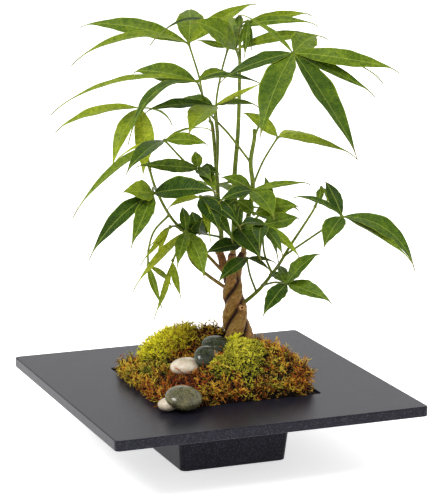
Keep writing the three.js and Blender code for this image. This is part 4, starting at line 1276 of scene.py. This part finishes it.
# %% Right branch
make_shoot("branch_right", seed=45, shoot={
    "stem": [
        [22, 20, 126], [37, 16, 140], [45, 9, 151], [56, 2, 168], [65, -3, 185], [76, -9, 204],
        [86, -14, 222], [90, -14, 234],
    ],
    "radii": (1.8, 0.9),
    "leaves": [
        {
            "petiole": [[86, -14, 222], [90, -14, 234], [91.5, -14, 240]], "tone": 0.35,
            "tips": [[90, -19, 226, 7, 0.2], [96, -16, 225, 7, 0.2]],
        },
        {
            "petiole": [[60, 0, 176], [93, -32, 207], [108, -45, 221]],
            "face": [0, -0.35, 0.95], "tone": 0.35,
            "tips": [
                [169, -60, 180, 19, 0.26], [166, -85, 190, 11, 0.08], [91, -75, 200, 19],
                [94, -20, 247, 12], [66, -50, 239, 10],
            ],
            "faces": {0: TILTED, 3: [0, -1, 0.2]}, "tones": {0: 0.25, 1: 0.5, 2: 0.18, 3: 0.1, 4: 0.12},
        },
        {
            "petiole": [[50, 5, 160], [43, -12, 182], [41, -30, 210]],
            "face": [0, -0.5, 0.85], "tone": 0.15,
            "tips": [
                [73, -45, 185, 10], [58, -55, 190, 11], [55, -20, 177, 5], [22, -50, 214, 15],
                [38, -75, 200, 14], [73, -10, 213, 15, 0.02],
            ],
            "tones": {0: 0.6, 3: 0.0, 4: 0.0, 5: 0.3}, "faces": {5: VIEWER},
        },
        {
            "petiole": [[42, 12, 147], [52, -10, 155], [62, -35, 160]],
            "face": [0, -0.6, 0.75], "tone": 0.3,
            "tips": [
                [90, -50, 191, 17], [100, -60, 150, 17], [41, -65, 139, 16], [47, -10, 163, 10],
                [54, 0, 168, 8],
            ],
            "tones": {2: 0.05},
        },
        {
            "petiole": [[37, 16, 140], [31, -2, 160], [28, -12, 177]],
            "face": [0, -0.5, 0.8], "tone": 0.08,
            "tips": [[53, -20, 175, 5], [49, -30, 169, 5], [3, -38, 162, 14]],
        },
    ],
})

# %% [markdown]
# ## The pebbles
# River pebbles are worn ellipsoids, never quite round. Each is a globe of points stretched along three
# axes and pushed in and out by a few long waves. The dark ones are polished and speckled, the pale ones
# are smooth.

# %% Pebble shapes
# for each pebble: its middle in the plant's frame, its three radii, and its turn, tip and sway in radians
PEBBLES = {
    "pebble_front": ((-24.5, -97, 76), (16.5, 13.5, 8.3), 0.4, 0.45, 0.05),
    "pebble_under": ((-37.8, -96.5, 70.2), (9, 8.5, 5.8), 0.4, 0.0, 0.0),
    "pebble_pale": ((-24.5, -30, 85), (13.6, 10, 6.8), 0.1, 0.3, -0.1),
    "pebble_dark": ((-4, -29, 91.5), (14.8, 12.6, 7.4), 0.15, 0.75, 0.4),
    "pebble_back": ((2.5, -6, 97.5), (14, 11, 5.8), 0.1, 0.5, 0.1),
}
PEBBLE_ROWS, PEBBLE_COLS = 60, 96
POLE_SHARE = 0.985  # the first and last rings lie this share of the way to the poles
PEBBLE_WAVE = 2.4  # length of the waves, in radii


def pebble_turn(turn, tip, sway):
    """The rotation of a pebble: sway about y, then tip about x, then turn about z."""
    cs, ss = np.cos(sway), np.sin(sway)
    ct, st = np.cos(tip), np.sin(tip)
    cz, sz = np.cos(turn), np.sin(turn)
    about_y = np.array([[cs, 0, ss], [0, 1, 0], [-ss, 0, cs]])
    about_x = np.array([[1, 0, 0], [0, ct, -st], [0, st, ct]])
    about_z = np.array([[cz, -sz, 0], [sz, cz, 0], [0, 0, 1]])
    return about_z @ about_x @ about_y


def pebble_shape(centre, radii, turn, tip, sway, seed):
    """Globe points (cos u cos v, sin u cos v, sin v), pushed in and out by waves, stretched and turned."""
    v = np.linspace(-POLE_SHARE, POLE_SHARE, PEBBLE_ROWS)[:, None] * np.pi / 2
    u = (2 * np.pi * np.arange(PEBBLE_COLS) / PEBBLE_COLS)[None]
    ball = np.stack(np.broadcast_arrays(np.cos(u) * np.cos(v), np.sin(u) * np.cos(v), np.sin(v)), -1)
    ball = np.concatenate([ball.reshape(-1, 3), [[0, 0, -1.0], [0, 0, 1.0]]])
    push = 0.98 + 0.035 * ripple(ball, PEBBLE_WAVE, seed)
    grown = ball * push[:, None] * np.array(radii)
    return grown @ pebble_turn(turn, tip, sway).T + centre


# %% [markdown]
# ## The pebbles' finish
# Stones of this kind are tumbled and oiled: dark ones look wet and show grains and flecks, pale ones are
# chalky. The specks group that gives the planter its grit gives the stones their grains, at another size,
# and a thin clear coat makes the small sharp glints of a polish.

# %% Pebble finishes
STONE_GRAIN = rgb(120, 116, 80)


def polished_stone(name, dark, light, fleck, share):
    """Polished river stone: cloudy body colour, pale flecks and darker grains under a wet-looking polish."""
    coat = {"Coat_Weight": 0.2, "Coat_Roughness": 0.08}
    material, tree, shader = new_material(name, 0.24, Specular_IOR_Level=0.3, **coat)
    place = object_place(tree)
    grain = use_group(tree, SPECKS, Place=place, Scale=950.0, Share=share)
    coarse = use_group(tree, SPECKS, Place=place, Scale=420.0, Share=share * 0.7)
    body = ramp(tree, noise(tree, place, 150.0, 5.0, 0.6), (0.32, dark), (0.68, light))
    grainy = mix(tree, times(tree, grain.outputs["Mask"], 0.6), body, fleck)
    patchy = mix(tree, times(tree, coarse.outputs["Mask"], 0.35), grainy, STONE_GRAIN)
    tree.links.new(patchy, shader.inputs["Base Color"])
    tree.links.new(fit(tree, grain.outputs["Clouds"], 0.3, 0.7, 0.14, 0.3), shader.inputs["Roughness"])
    bump(tree, shader, noise(tree, place, 500.0, 4.0), 0.0002, 0.35)
    return material


def pale_stone():
    """Pale stone: warm chalky white with greyer clouds and a few brown dots."""
    material, tree, shader = new_material("pale_stone", 0.38)
    place = object_place(tree)
    clouds = noise(tree, place, 120.0, 5.0, 0.6)
    body = ramp(tree, clouds, (0.3, rgb(134, 118, 98)), (0.5, rgb(182, 168, 146)), (0.72, rgb(208, 198, 180)))
    dots = use_group(tree, SPECKS, Place=place, Scale=800.0, Share=0.12)
    dotted = mix(tree, times(tree, dots.outputs["Mask"], 0.4), body, rgb(140, 120, 104))
    tree.links.new(dotted, shader.inputs["Base Color"])
    bump(tree, shader, clouds, 0.0003, 0.4)
    return material


GREY_GREEN = polished_stone("polished_grey_green", rgb(46, 46, 30), rgb(96, 92, 62), rgb(140, 130, 90), 0.35)
GREEN_BLACK = polished_stone("polished_green_black", rgb(20, 25, 16), rgb(50, 56, 38), rgb(104, 110, 78), 0.3)
PALE_STONE = pale_stone()
PEBBLE_FINISH = {
    "pebble_front": (GREY_GREEN, "stone_dark"), "pebble_under": (PALE_STONE, "stone_pale"),
    "pebble_pale": (PALE_STONE, "stone_pale"), "pebble_dark": (GREEN_BLACK, "stone_dark"),
    "pebble_back": (GREEN_BLACK, "stone_dark"),
}


# %% Build the pebbles
def make_pebble(name, sizes, seed):
    """A globe's rings are joined like those of a tube, with one point at either pole."""
    parts = Parts()
    parts.add(to_planter(pebble_shape(*sizes, seed)), *tube_faces(PEBBLE_ROWS, PEBBLE_COLS))
    finish, slot = PEBBLE_FINISH[name]
    make_piece("river_" + name, parts, [finish], slot, name)


for pebble_seed, (pebble_name, pebble_sizes) in enumerate(PEBBLES.items()):
    make_pebble(pebble_name, pebble_sizes, 60 + pebble_seed)

# %% [markdown]
# ## The moss
# The bed is dyed curly moss: rust brown over most of it, a brighter yellow-green mound behind on the
# left, and a tight lime-green cushion in front of the trunk. Hair particles could make it, but strands
# worked out as arrays keep their place from run to run and export as real geometry. A lumpy bed in the
# dark colour of painted shade closes the ground, and thousands of small branching sprigs grow from it,
# each a thin three-sided tube that wanders as it grows, with twigs that leave it on the way.

# %% Height of the moss
MOSS_EDGE, MOSS_CREST = 4.0, 33.0  # height over the rim at the opening's edge and on the plateau
MOSS_LEAN = 105.0  # left of the middle the plateau falls by its whole height over this distance
MOSS_BROW = 0.55  # the lower, the rounder the shoulders
# each swelling: its middle and its two half widths in the plant's frame, and its rise
YELLOW_SWELLINGS = [[-41, 30, 22, 22, 16]]
LIME_SWELLINGS = [[26, -26, 17, 37, 9], [8, -50, 12, 17, 5]]
OTHER_SWELLINGS = [[-8, 32, 22, 20, 11], [62, -14, 30, 40, 5], [-30, -40, 34, 36, -7], [-15, -15, 24, 26, -8]]


def moss_height(x, y):
    """Height above the rim at x, y of the planter: a plateau that falls steeply at the opening's edges
    and gently to the left, with a rounded swelling for each clump. Towards an edge it falls as
    (1 - |v / half|^3)^0.55, and in a clump as (1 - r^2)^0.55."""
    def flat(v):
        """1 in the middle of the opening, and steeply down to 0 at its edge."""
        return np.maximum(0, 1 - np.abs(v / (OPENING_SIDE / 2)) ** 3) ** MOSS_BROW

    px, py = to_plant(x, y)
    lean = np.minimum(1, 1 + (px + 5) / MOSS_LEAN)
    inside = flat(x) * flat(y)
    height = MOSS_EDGE + (MOSS_CREST - MOSS_EDGE) * inside * lean
    for cx, cy, rx, ry, rise in YELLOW_SWELLINGS + LIME_SWELLINGS + OTHER_SWELLINGS:
        away = ((px - cx) / rx) ** 2 + ((py - cy) / ry) ** 2
        height = height + rise * np.maximum(0, 1 - away) ** MOSS_BROW * np.minimum(1, inside * 2)
    return height


def in_clumps(x, y, clumps, grow=0.0):
    """True where x, y of the planter lies inside one of the clumps, each grown by a few millimetres."""
    px, py = to_plant(x, y)
    return np.any([
        ((px - cx) / (rx + grow)) ** 2 + ((py - cy) / (ry + grow)) ** 2 < 1 for cx, cy, rx, ry, _ in clumps
    ], 0)


# %% Paths of moss strands
LIE = 0.6  # height of a strand's middle above the plate that it lies on


def wander(root, heading, length, steps, curl, draw):
    """Paths that start at root and turn a little at every step: heading + curl times a random vector."""
    step = (length / (steps - 1))[:, None]
    places = [root]
    for _ in range(steps - 1):
        heading = unit(heading + curl * draw.normal(size=root.shape))
        places.append(places[-1] + heading * step)
    return np.stack(places, 1)


def outside_stones_and_trunk(paths):
    """True for each path that enters neither a pebble nor the trunk."""
    px, py = to_plant(paths[..., 0], paths[..., 1])
    own = np.stack([px, py, paths[..., 2]], -1)
    clear = np.ones(len(paths), bool)
    for centre, radii, turn, tip, sway in PEBBLES.values():
        inside = (own - centre) @ pebble_turn(turn, tip, sway) / (np.array(radii) + 0.2)
        clear &= np.all(np.sum(inside**2, -1) > 1, 1)
    from_axis = np.hypot(px - trunk_axis(paths[..., 2]), py - TRUNK_Y)
    return clear & np.all(from_axis > trunk_radius(paths[..., 2]) * 0.97, 1)


# %% Sprigs of moss
STRAND_POINTS, TWIG_POINTS = 6, 4  # rings of a main strand and of a twig
SPRIG_SIDES = 3


def add_strands(parts, paths, radii, tone, depth):
    """Thin tubes along the paths, but for those that would enter a pebble or the trunk. Past the opening's
    edge a strand lies on the plate."""
    keep = outside_stones_and_trunk(paths)
    paths, radii = paths[keep], radii[keep]
    over_plate = np.max(np.abs(paths[..., :2]), -1) > OPENING_SIDE / 2 - 0.5
    paths[..., 2] = np.where(over_plate, np.maximum(paths[..., 2], HEIGHT + LIE), paths[..., 2])
    points = tube_points(paths, radii, SPRIG_SIDES, 1.5)
    quads, tris = tube_faces(paths.shape[1], SPRIG_SIDES, len(paths))
    own_tone = np.repeat(tone[keep], points.shape[1])
    parts.add(points, quads, tris, 0, tone=own_tone, depth=ring_values(depth[keep], SPRIG_SIDES))


def grow_sprigs(parts, roots, heading, tone, draw, size, twigs, thick, curl, bright):
    """Main strands and their twigs, thinner towards their tips. A strand is 0.6 to 1.35 times size long. Its
    shade depth, which sets the painted shade and light of the moss, runs from 0 at the root to a value at
    the tip that is drawn from the range bright; a twig leaves it part of the way up, where the depth is
    half of that."""
    count = len(roots)
    own_bright = draw.uniform(*bright, count)[:, None]
    length = size * draw.uniform(0.6, 1.35, count)
    main = wander(roots, heading, length, STRAND_POINTS, curl, draw)
    radii = thick * draw.uniform(0.75, 1.25, (count, 1)) * np.linspace(1, 0.5, STRAND_POINTS)
    strands = [(main, radii, np.linspace(0, 1, STRAND_POINTS))]
    for k in range(twigs):
        ring = 2 + (k + draw.integers(0, 2, count)) % 3
        start = main[np.arange(count), ring]
        lead = unit(main[np.arange(count), ring + 1] - start)
        aside = unit(lead + 1.1 * draw.normal(size=lead.shape))
        twig = wander(start, aside, length * draw.uniform(0.25, 0.5, count), TWIG_POINTS, curl * 0.8, draw)
        slim = thick * 0.75 * draw.uniform(0.75, 1.2, (count, 1)) * np.linspace(1, 0.45, TWIG_POINTS)
        strands.append((twig, slim, np.linspace(0.5, 1, TWIG_POINTS)))
    for paths, radii, depth in strands:
        add_strands(parts, paths, radii, tone, depth * own_bright)


# %% Places of moss tufts
EDGE_RISE = 7  # this close to the opening's edge the roots rise to the surface
ROOT_SPREAD = [0.8, 0.8, 0.5]


def surface_up(x, y):
    """The direction square to the moss surface, from the height a millimetre away on either side."""
    slope_x = (moss_height(x + 1, y) - moss_height(x - 1, y)) / 2
    slope_y = (moss_height(x, y + 1) - moss_height(x, y - 1)) / 2
    return unit(np.stack([-slope_x, -slope_y, np.ones_like(x)], -1))


def sprig_roots(x, y, drop):
    """Points drop millimetres under the moss surface."""
    return np.stack([x, y, HEIGHT + moss_height(x, y) - drop], -1)


def tufts(x, y, drop, members, lean, draw):
    """Roots and headings of tufts at x, y: each has members strands that spread from one point. Close to
    the opening's edge the roots rise to the surface, so that the strands lie over the rim."""
    up = np.repeat(surface_up(x, y), members, 0)
    inset = OPENING_SIDE / 2 - np.maximum(np.abs(x), np.abs(y))
    roots = np.repeat(sprig_roots(x, y, drop * ease(0, EDGE_RISE, inset)), members, 0)
    roots = roots + draw.normal(size=up.shape) * ROOT_SPREAD
    return roots, unit(up + lean * draw.normal(size=up.shape))


# %% [markdown]
# ## The moss's finish
# Dyed moss takes the colour unevenly: no two sprigs match. Each is painted dark down in the bed, where
# no light comes, and light at its tip: painted shade and painted light. One finish does for all three
# kinds, with its own ramp of colours. A sprig's place on the ramp and how far along it a point lies are
# values on the mesh, so thousands of sprigs share a material.

# %% Moss finish
def moss_colour(name, stops, dark):
    """Dyed moss: each sprig has its own colour along the ramp; painted shade darkens it at its root and
    painted light brings it to full colour at its tip.
    """
    material, tree, shader = new_material(name, 0.85, Specular_IOR_Level=0.25)
    place = object_place(tree)
    drift = fit(tree, noise(tree, place, 240.0, 3.0), 0.3, 0.7, -0.15, 0.15)
    shade = ramp(tree, plus(tree, point_value(tree, "tone"), drift), *stops)
    # painted shade and light: dark at a sprig's root, down in the bed, and full colour towards its tip
    light = fit(tree, point_value(tree, "depth"), 0.3, 0.92, 0.0, 1.0)
    tree.links.new(mix(tree, light, dark, shade), shader.inputs["Base Color"])
    bump(tree, shader, noise(tree, place, 1800.0, 2.0), 0.0003, 0.6)
    return material


# each moss's last colour is the painted shade at its sprigs' roots and over the bed
RUST_MOSS = moss_colour(
    "rust_moss",
    [(0.0, rgb(96, 34, 12)), (0.17, rgb(172, 70, 22)), (0.34, rgb(192, 110, 30)), (0.52, rgb(228, 170, 48)),
     (0.68, rgb(242, 206, 72)), (0.82, rgb(190, 178, 48)), (1.0, rgb(126, 134, 38))],
    rgb(22, 10, 4),
)
YELLOW_MOSS = moss_colour(
    "yellow_moss",
    [(0.0, rgb(150, 112, 40)), (0.3, rgb(200, 174, 46)), (0.6, rgb(232, 220, 44)), (1.0, rgb(246, 243, 56))],
    rgb(40, 28, 5),
)
LIME_MOSS = moss_colour(
    "lime_moss",
    [(0.0, rgb(92, 88, 24)), (0.35, rgb(150, 146, 38)), (0.65, rgb(196, 188, 46)), (1.0, rgb(240, 230, 72))],
    rgb(26, 24, 6),
)

# %% Moss bed
BED_CELLS = 110
BED_INSET = 1.0  # the bed stays this far inside the opening
BED_DROP = 5.0  # the bed lies this far under the tops of the sprigs
BED_FOOT = HEIGHT - 4.6
GAP_LENGTH = 17.0  # at two corners the moss stops this far short and shows the recess
GAP_DEPTH = 7


def corner_gap(x, y):
    """1 at the opening's left and right corners, as the photograph sees them, and 0 from GAP_LENGTH on."""
    px, _ = to_plant(x, y)
    corner = (OPENING_SIDE / 2) * np.sqrt(2) * np.cos(np.radians(45) + PLANT_TURN)
    return 1 - ease(0, GAP_LENGTH, corner - np.abs(px))


def bed_shape(seed):
    """A closed slab: its top a grid at the moss height less BED_DROP, with small lumps; its sides go down
    to the soil and its flat underside is a fan of triangles round its middle."""
    reach = OPENING_SIDE / 2 - BED_INSET
    v = np.linspace(-reach, reach, BED_CELLS)
    x, y = np.meshgrid(v, v, indexing="ij")
    z = HEIGHT + moss_height(x, y) - BED_DROP - GAP_DEPTH * corner_gap(x, y)
    top = np.stack([x, y, z], -1)
    lumps = ripple(top.reshape(-1, 3), 7, seed).reshape(x.shape) * 1.3
    lumps += ripple(top.reshape(-1, 3), 3.2, seed + 1).reshape(x.shape) * 0.7
    top[..., 2] = np.maximum(z + lumps, BED_FOOT + 0.4)
    grid = top.reshape(-1, 3)
    quads = grid_quads(BED_CELLS, BED_CELLS, False)[:, ::-1]
    n = BED_CELLS
    i = np.arange(n - 1)
    border = np.concatenate([i * n, (n - 1) * n + i, (n - 1 - i) * n + n - 1, n - 1 - i])
    low = grid[border] * [1, 1, 0] + [0, 0, BED_FOOT]
    first = len(grid)
    ring = np.arange(len(border))
    after = (ring + 1) % len(border)
    skirt = np.stack([border, first + ring, first + after, border[after]], -1)
    middle = first + len(border)
    fan = np.stack([first + after, first + ring, np.full(len(border), middle)], -1)
    points = np.concatenate([grid, low, [[0, 0, BED_FOOT]]])
    return points, np.concatenate([quads, skirt]), fan


# %% Where the rust moss grows, and its colours
STONE_HOLLOW = [9, -24, 9, 10, 0]  # a gap between the dark pebbles and the lime cushion where no rust moss grows, so the dark bed shows there as painted shade
EDGE_SHARE = 0.2  # of the tufts stand along the opening's edges
RED_PATCH = [-24, -55, 18, 26]
OLIVE_PATCH = [-56, -4, 20, 26]


def patch(px, py, middle_x, middle_y, wide, deep):
    """1 in a patch's middle, falling off round it as e^(-r^2)."""
    return np.exp(-(((px - middle_x) / wide) ** 2 + ((py - middle_y) / deep) ** 2))


def rust_tone(x, y, draw):
    """Patches of colour: red only in front on the left, golden on the right, olive on the left and behind."""
    px, py = to_plant(x, y)
    ground = np.stack([x, y, 0 * x], -1)
    tone = 0.4 + 0.2 * ripple(ground, 24, 3) + 0.18 * draw.normal(size=len(x)) + 0.08 * ease(10, 60, px)
    tone += 0.4 * patch(px, py, *OLIVE_PATCH) - 0.25 * patch(px, py, *RED_PATCH)
    tone += 0.35 * ease(10, 40, py) * (1 - ease(20, 45, px))
    return np.clip(tone, 0.26 * ease(-10, 15, px), 1)


def rust_places(draw, count):
    """Random places of the opening that no other moss covers, thinned out at the two open corners. A
    fifth of them stand along its edges."""
    half = OPENING_SIDE / 2 - BED_INSET
    x, y = draw.uniform(-half, half, (count * 2, 2)).T
    side = draw.integers(0, 4, len(x))
    edge = half - 3.0 * draw.uniform(0, 1, len(x)) ** 2
    along_edge = draw.uniform(0, 1, len(x)) < EDGE_SHARE
    x = np.where(along_edge & (side < 2), np.where(side == 0, edge, -edge), x)
    y = np.where(along_edge & (side >= 2), np.where(side == 2, edge, -edge), y)
    free = ~in_clumps(x, y, YELLOW_SWELLINGS, -3) & ~in_clumps(x, y, LIME_SWELLINGS[:1], 0.5)
    free &= ~in_clumps(x, y, LIME_SWELLINGS[1:], -6)
    free &= draw.uniform(0, 1, len(x)) > 2.0 * corner_gap(x, y)
    free &= ~in_clumps(x, y, [STONE_HOLLOW])
    return x[free][:count], y[free][:count]


# %% The fringe that hangs over the opening's edge
FRINGE_TUFTS, FRINGE_MEMBERS = 420, 4


def fringe(draw):
    """Places, roots and headings of tufts that hide the bed's sides: they stand in the opening's wall at
    random heights, head outwards and lie over the plate's inner edge."""
    side = draw.integers(0, 4, FRINGE_TUFTS)
    out = np.array([[1, 0], [0, 1], [-1, 0], [0, -1]])[side]
    run = draw.uniform(-OPENING_SIDE / 2, OPENING_SIDE / 2, FRINGE_TUFTS)
    inset = OPENING_SIDE / 2 - draw.uniform(0.9, 2.2, FRINGE_TUFTS)
    place = out * inset[:, None] + out[:, ::-1] * run[:, None]
    keep = draw.uniform(0, 1, FRINGE_TUFTS) > 2.5 * corner_gap(place[:, 0], place[:, 1])
    place, out = place[keep], out[keep]
    rise = draw.uniform(0, 1, len(place)) * (moss_height(place[:, 0], place[:, 1]) - 1)
    foot = np.concatenate([place, (HEIGHT + LIE + rise)[:, None]], 1)
    roots = np.repeat(foot, FRINGE_MEMBERS, 0)
    lead = np.repeat(np.concatenate([out, np.full((len(out), 1), 0.45)], 1), FRINGE_MEMBERS, 0)
    return place, roots, unit(lead + 0.6 * draw.normal(size=lead.shape))


# %% Rust moss
RUST_TUFTS, RUST_MEMBERS = 1150, 5
RUST_FILLERS = 3000
RUST_STRAYS = 420
RUST_BANDS = 5  # the moss is cut into bands from front to back, one piece each, to keep pieces small
# for each layer: the seed of its first band, and how its sprigs grow
RUST_LAYERS = {
    "tufts": (80, {"size": 7.5, "twigs": 2, "thick": 0.46, "curl": 0.5, "bright": (0.4, 1.35)}),
    "fillers": (90, {"size": 5.5, "twigs": 0, "thick": 0.5, "curl": 0.5, "bright": (0.3, 0.7)}),
    "fringe": (100, {"size": 5.6, "twigs": 2, "thick": 0.46, "curl": 0.5, "bright": (0.3, 1.1)}),
    "strays": (110, {"size": 11.5, "twigs": 2, "thick": 0.42, "curl": 0.34, "bright": (0.9, 1.5)}),
}


def rust_layers():
    """Each layer's distance back, by which it is cut into bands, and its roots, headings and tones."""
    draw = np.random.default_rng(7)
    x, y = rust_places(draw, RUST_TUFTS)
    tone = np.repeat(rust_tone(x, y, draw), RUST_MEMBERS) + 0.07 * draw.normal(size=len(x) * RUST_MEMBERS)
    roots, heading = tufts(x, y, BED_DROP - 0.5, RUST_MEMBERS, 0.75, draw)
    layers = {"tufts": (roots[:, 1], roots, heading, np.clip(tone, 0, 1))}
    x, y = rust_places(draw, RUST_FILLERS)
    tone = rust_tone(x, y, draw)
    layers["fillers"] = (y, *tufts(x, y, BED_DROP, 1, 0.9, draw), tone)
    place, roots, heading = fringe(draw)
    tone = np.repeat(rust_tone(place[:, 0], place[:, 1], draw), FRINGE_MEMBERS)
    layers["fringe"] = (roots[:, 1], roots, heading, tone)
    x, y = rust_places(draw, RUST_STRAYS)
    tone = np.clip(rust_tone(x, y, draw) + 0.1, 0, 1)
    layers["strays"] = (y, *tufts(x, y, 3.0, 1, 0.55, draw), tone)
    return layers


def make_rust_moss():
    """Bands with the same number of tufts in each. The first and last reach as far as the fringe does."""
    layers = rust_layers()
    edges = np.quantile(layers["tufts"][0], np.linspace(0, 1, RUST_BANDS + 1))
    open_edges = np.concatenate([[-np.inf], edges[1:-1], [np.inf]])
    for band in range(RUST_BANDS):
        parts = Parts()
        if band == 0:
            # the bed takes the dark root colour: painted shade under the sprigs
            parts.add(*bed_shape(5), tone=0.3, depth=0.1)
        for layer, (seed, growth) in RUST_LAYERS.items():
            y, roots, heading, tone = layers[layer]
            low, high = (open_edges if layer == "fringe" else edges)[band:band + 2]
            own = (y >= low) & (y <= high)
            draw = np.random.default_rng(seed + band)
            grow_sprigs(parts, roots[own], heading[own], tone[own], draw, **growth)
        make_piece(f"moss_rust_{band + 1}", parts, [RUST_MOSS], "moss_rust", "moss_rust")


make_rust_moss()


# %% Yellow moss
YELLOW_TUFTS, YELLOW_MEMBERS = 400, 5
YELLOW_GROWTH = {"size": 8.4, "twigs": 2, "thick": 0.5, "curl": 0.4, "bright": (0.55, 1.9)}
TIP_GROWTH = {"size": 6.0, "twigs": 2, "thick": 0.5, "curl": 0.5, "bright": (0.9, 1.4)}
TRUNK_TUFT = [18, -3, 5, 3, 0]  # a few bright tips between the lime cushion and the trunk
TRUNK_TUFTS = 12


def in_opening(px, py):
    """Places of the plant's frame, turned into the planter's, that lie inside the opening."""
    turned = to_planter(np.stack([px, py, 0 * px], -1))
    fits = np.all(np.abs(turned[:, :2]) < OPENING_SIDE / 2 - 1.5, 1)
    return turned[fits, 0], turned[fits, 1]


def clump_places(draw, clump, count):
    """Random places spread evenly over a clump's ellipse: r is the root of a number from 0 to 1."""
    cx, cy, rx, ry, _ = clump
    r, a = np.sqrt(draw.uniform(0, 1, count)), draw.uniform(0, 2 * np.pi, count)
    return in_opening(cx + rx * r * np.cos(a), cy + ry * r * np.sin(a))


def make_yellow_moss():
    """A loose mound, brightest on its outer left, and the few bright tips beside the trunk."""
    draw = np.random.default_rng(17)
    x, y = clump_places(draw, YELLOW_SWELLINGS[0], YELLOW_TUFTS)
    roots, heading = tufts(x, y, 3.6, YELLOW_MEMBERS, 0.7, draw)
    px, _ = to_plant(x, y)
    tone = np.repeat(0.4 + 0.4 * ease(-26, -50, px) + 0.22 * draw.normal(size=len(x)), YELLOW_MEMBERS)
    tone = tone + 0.1 * draw.normal(size=len(roots))
    parts = Parts()
    grow_sprigs(parts, roots, heading, np.clip(tone, 0, 1), draw, **YELLOW_GROWTH)
    x, y = clump_places(draw, TRUNK_TUFT, TRUNK_TUFTS)
    roots, heading = tufts(x, y, 1.0, YELLOW_MEMBERS, 0.6, draw)
    grow_sprigs(parts, roots, heading, np.ones(len(roots)), draw, **TIP_GROWTH)
    make_piece("moss_yellow_mound", parts, [YELLOW_MOSS], "moss_yellow", "moss_yellow")


make_yellow_moss()


# %% Lime moss
HEAD_PITCH = 2.7  # the cushion is made of small round heads this far apart
HEAD_MEMBERS = 11  # sprigs in a head
HEAD_DROP = 2.2  # their roots lie this far under the surface
LIME_GROWTH = {"size": 2.5, "twigs": 1, "thick": 0.48, "curl": 0.2, "bright": (0.55, 1.6)}
# for each part: its name, its swelling, its tone and how much painted light its ridge gets
LIME_PARTS = (("cushion", LIME_SWELLINGS[0], 0.5, 0.38), ("lobe", LIME_SWELLINGS[1], 0.62, 0.0))


def head_places(draw, clump):
    """Places on a grid inside a clump's ellipse, every other row moved by half a pitch, and each place
    nudged at random."""
    cx, cy, rx, ry, _ = clump
    across, along = np.meshgrid(np.arange(-rx, rx, HEAD_PITCH), np.arange(-ry, ry, HEAD_PITCH))
    across = across + HEAD_PITCH / 2 * (np.arange(len(across)) % 2)[:, None]
    spot = np.stack([across.ravel(), along.ravel()], -1)
    spot = spot + 0.2 * HEAD_PITCH * draw.normal(size=spot.shape)
    spot = spot[((spot / [rx, ry]) ** 2).sum(-1) < 1]
    return in_opening(cx + spot[:, 0], cy + spot[:, 1])


def make_lime_moss():
    """A tight cushion and its lobe: many short sprigs that stand square to the surface, in small heads with
    dark dots between them, where the painted shade of the roots shows. The cushion gets painted light
    along its ridge, and both are painted darker towards the front as painted shade, which makes the lobe
    darker."""
    draw = np.random.default_rng(27)
    for name, clump, shade, ridge_light in LIME_PARTS:
        parts = Parts()
        x, y = head_places(draw, clump)
        up = np.repeat(surface_up(x, y), HEAD_MEMBERS, 0)
        roots = np.repeat(sprig_roots(x, y, HEAD_DROP), HEAD_MEMBERS, 0) + 0.3 * draw.normal(size=up.shape)
        heading = unit(up + 0.6 * draw.normal(size=up.shape))
        px, py = to_plant(x, y)
        # painted light along the cushion's ridge, and painted shade towards the front
        tone = shade + ridge_light * np.exp(-(((px - clump[0] + 2) / 8) ** 2)) + 0.17 * draw.normal(size=len(x))
        tone = np.clip(np.repeat(tone - 0.25 * ease(-40, -58, py), HEAD_MEMBERS), 0, 1)
        grow_sprigs(parts, roots, heading, tone, draw, **LIME_GROWTH)
        print("moss_lime_" + name, len(x), "heads")
        make_piece(f"moss_lime_{name}", parts, [LIME_MOSS], "moss_lime", "moss_lime")


make_lime_moss()

# %% [markdown]
# ## The soil
# The soil hardly shows, only where the moss leaves a gap beside the rim, so the solid keeps its own
# shape and gets the look of dark crumbly potting soil.

# %% Soil finish
def potting_soil():
    """Near-black crumbs with browner ones between them."""
    material, tree, shader = new_material("potting_soil", 0.95)
    place = object_place(tree)
    crumbs = noise(tree, place, 420.0, 6.0, 0.7)
    crumbly = ramp(tree, crumbs, (0.3, rgb(22, 14, 9)), (0.7, rgb(66, 46, 30)))
    tree.links.new(crumbly, shader.inputs["Base Color"])
    bump(tree, shader, crumbs, 0.003, 1.0)
    return material


soil_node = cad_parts["soil"]
soil_node.data.materials.clear()
soil_node.data.materials.append(potting_soil())
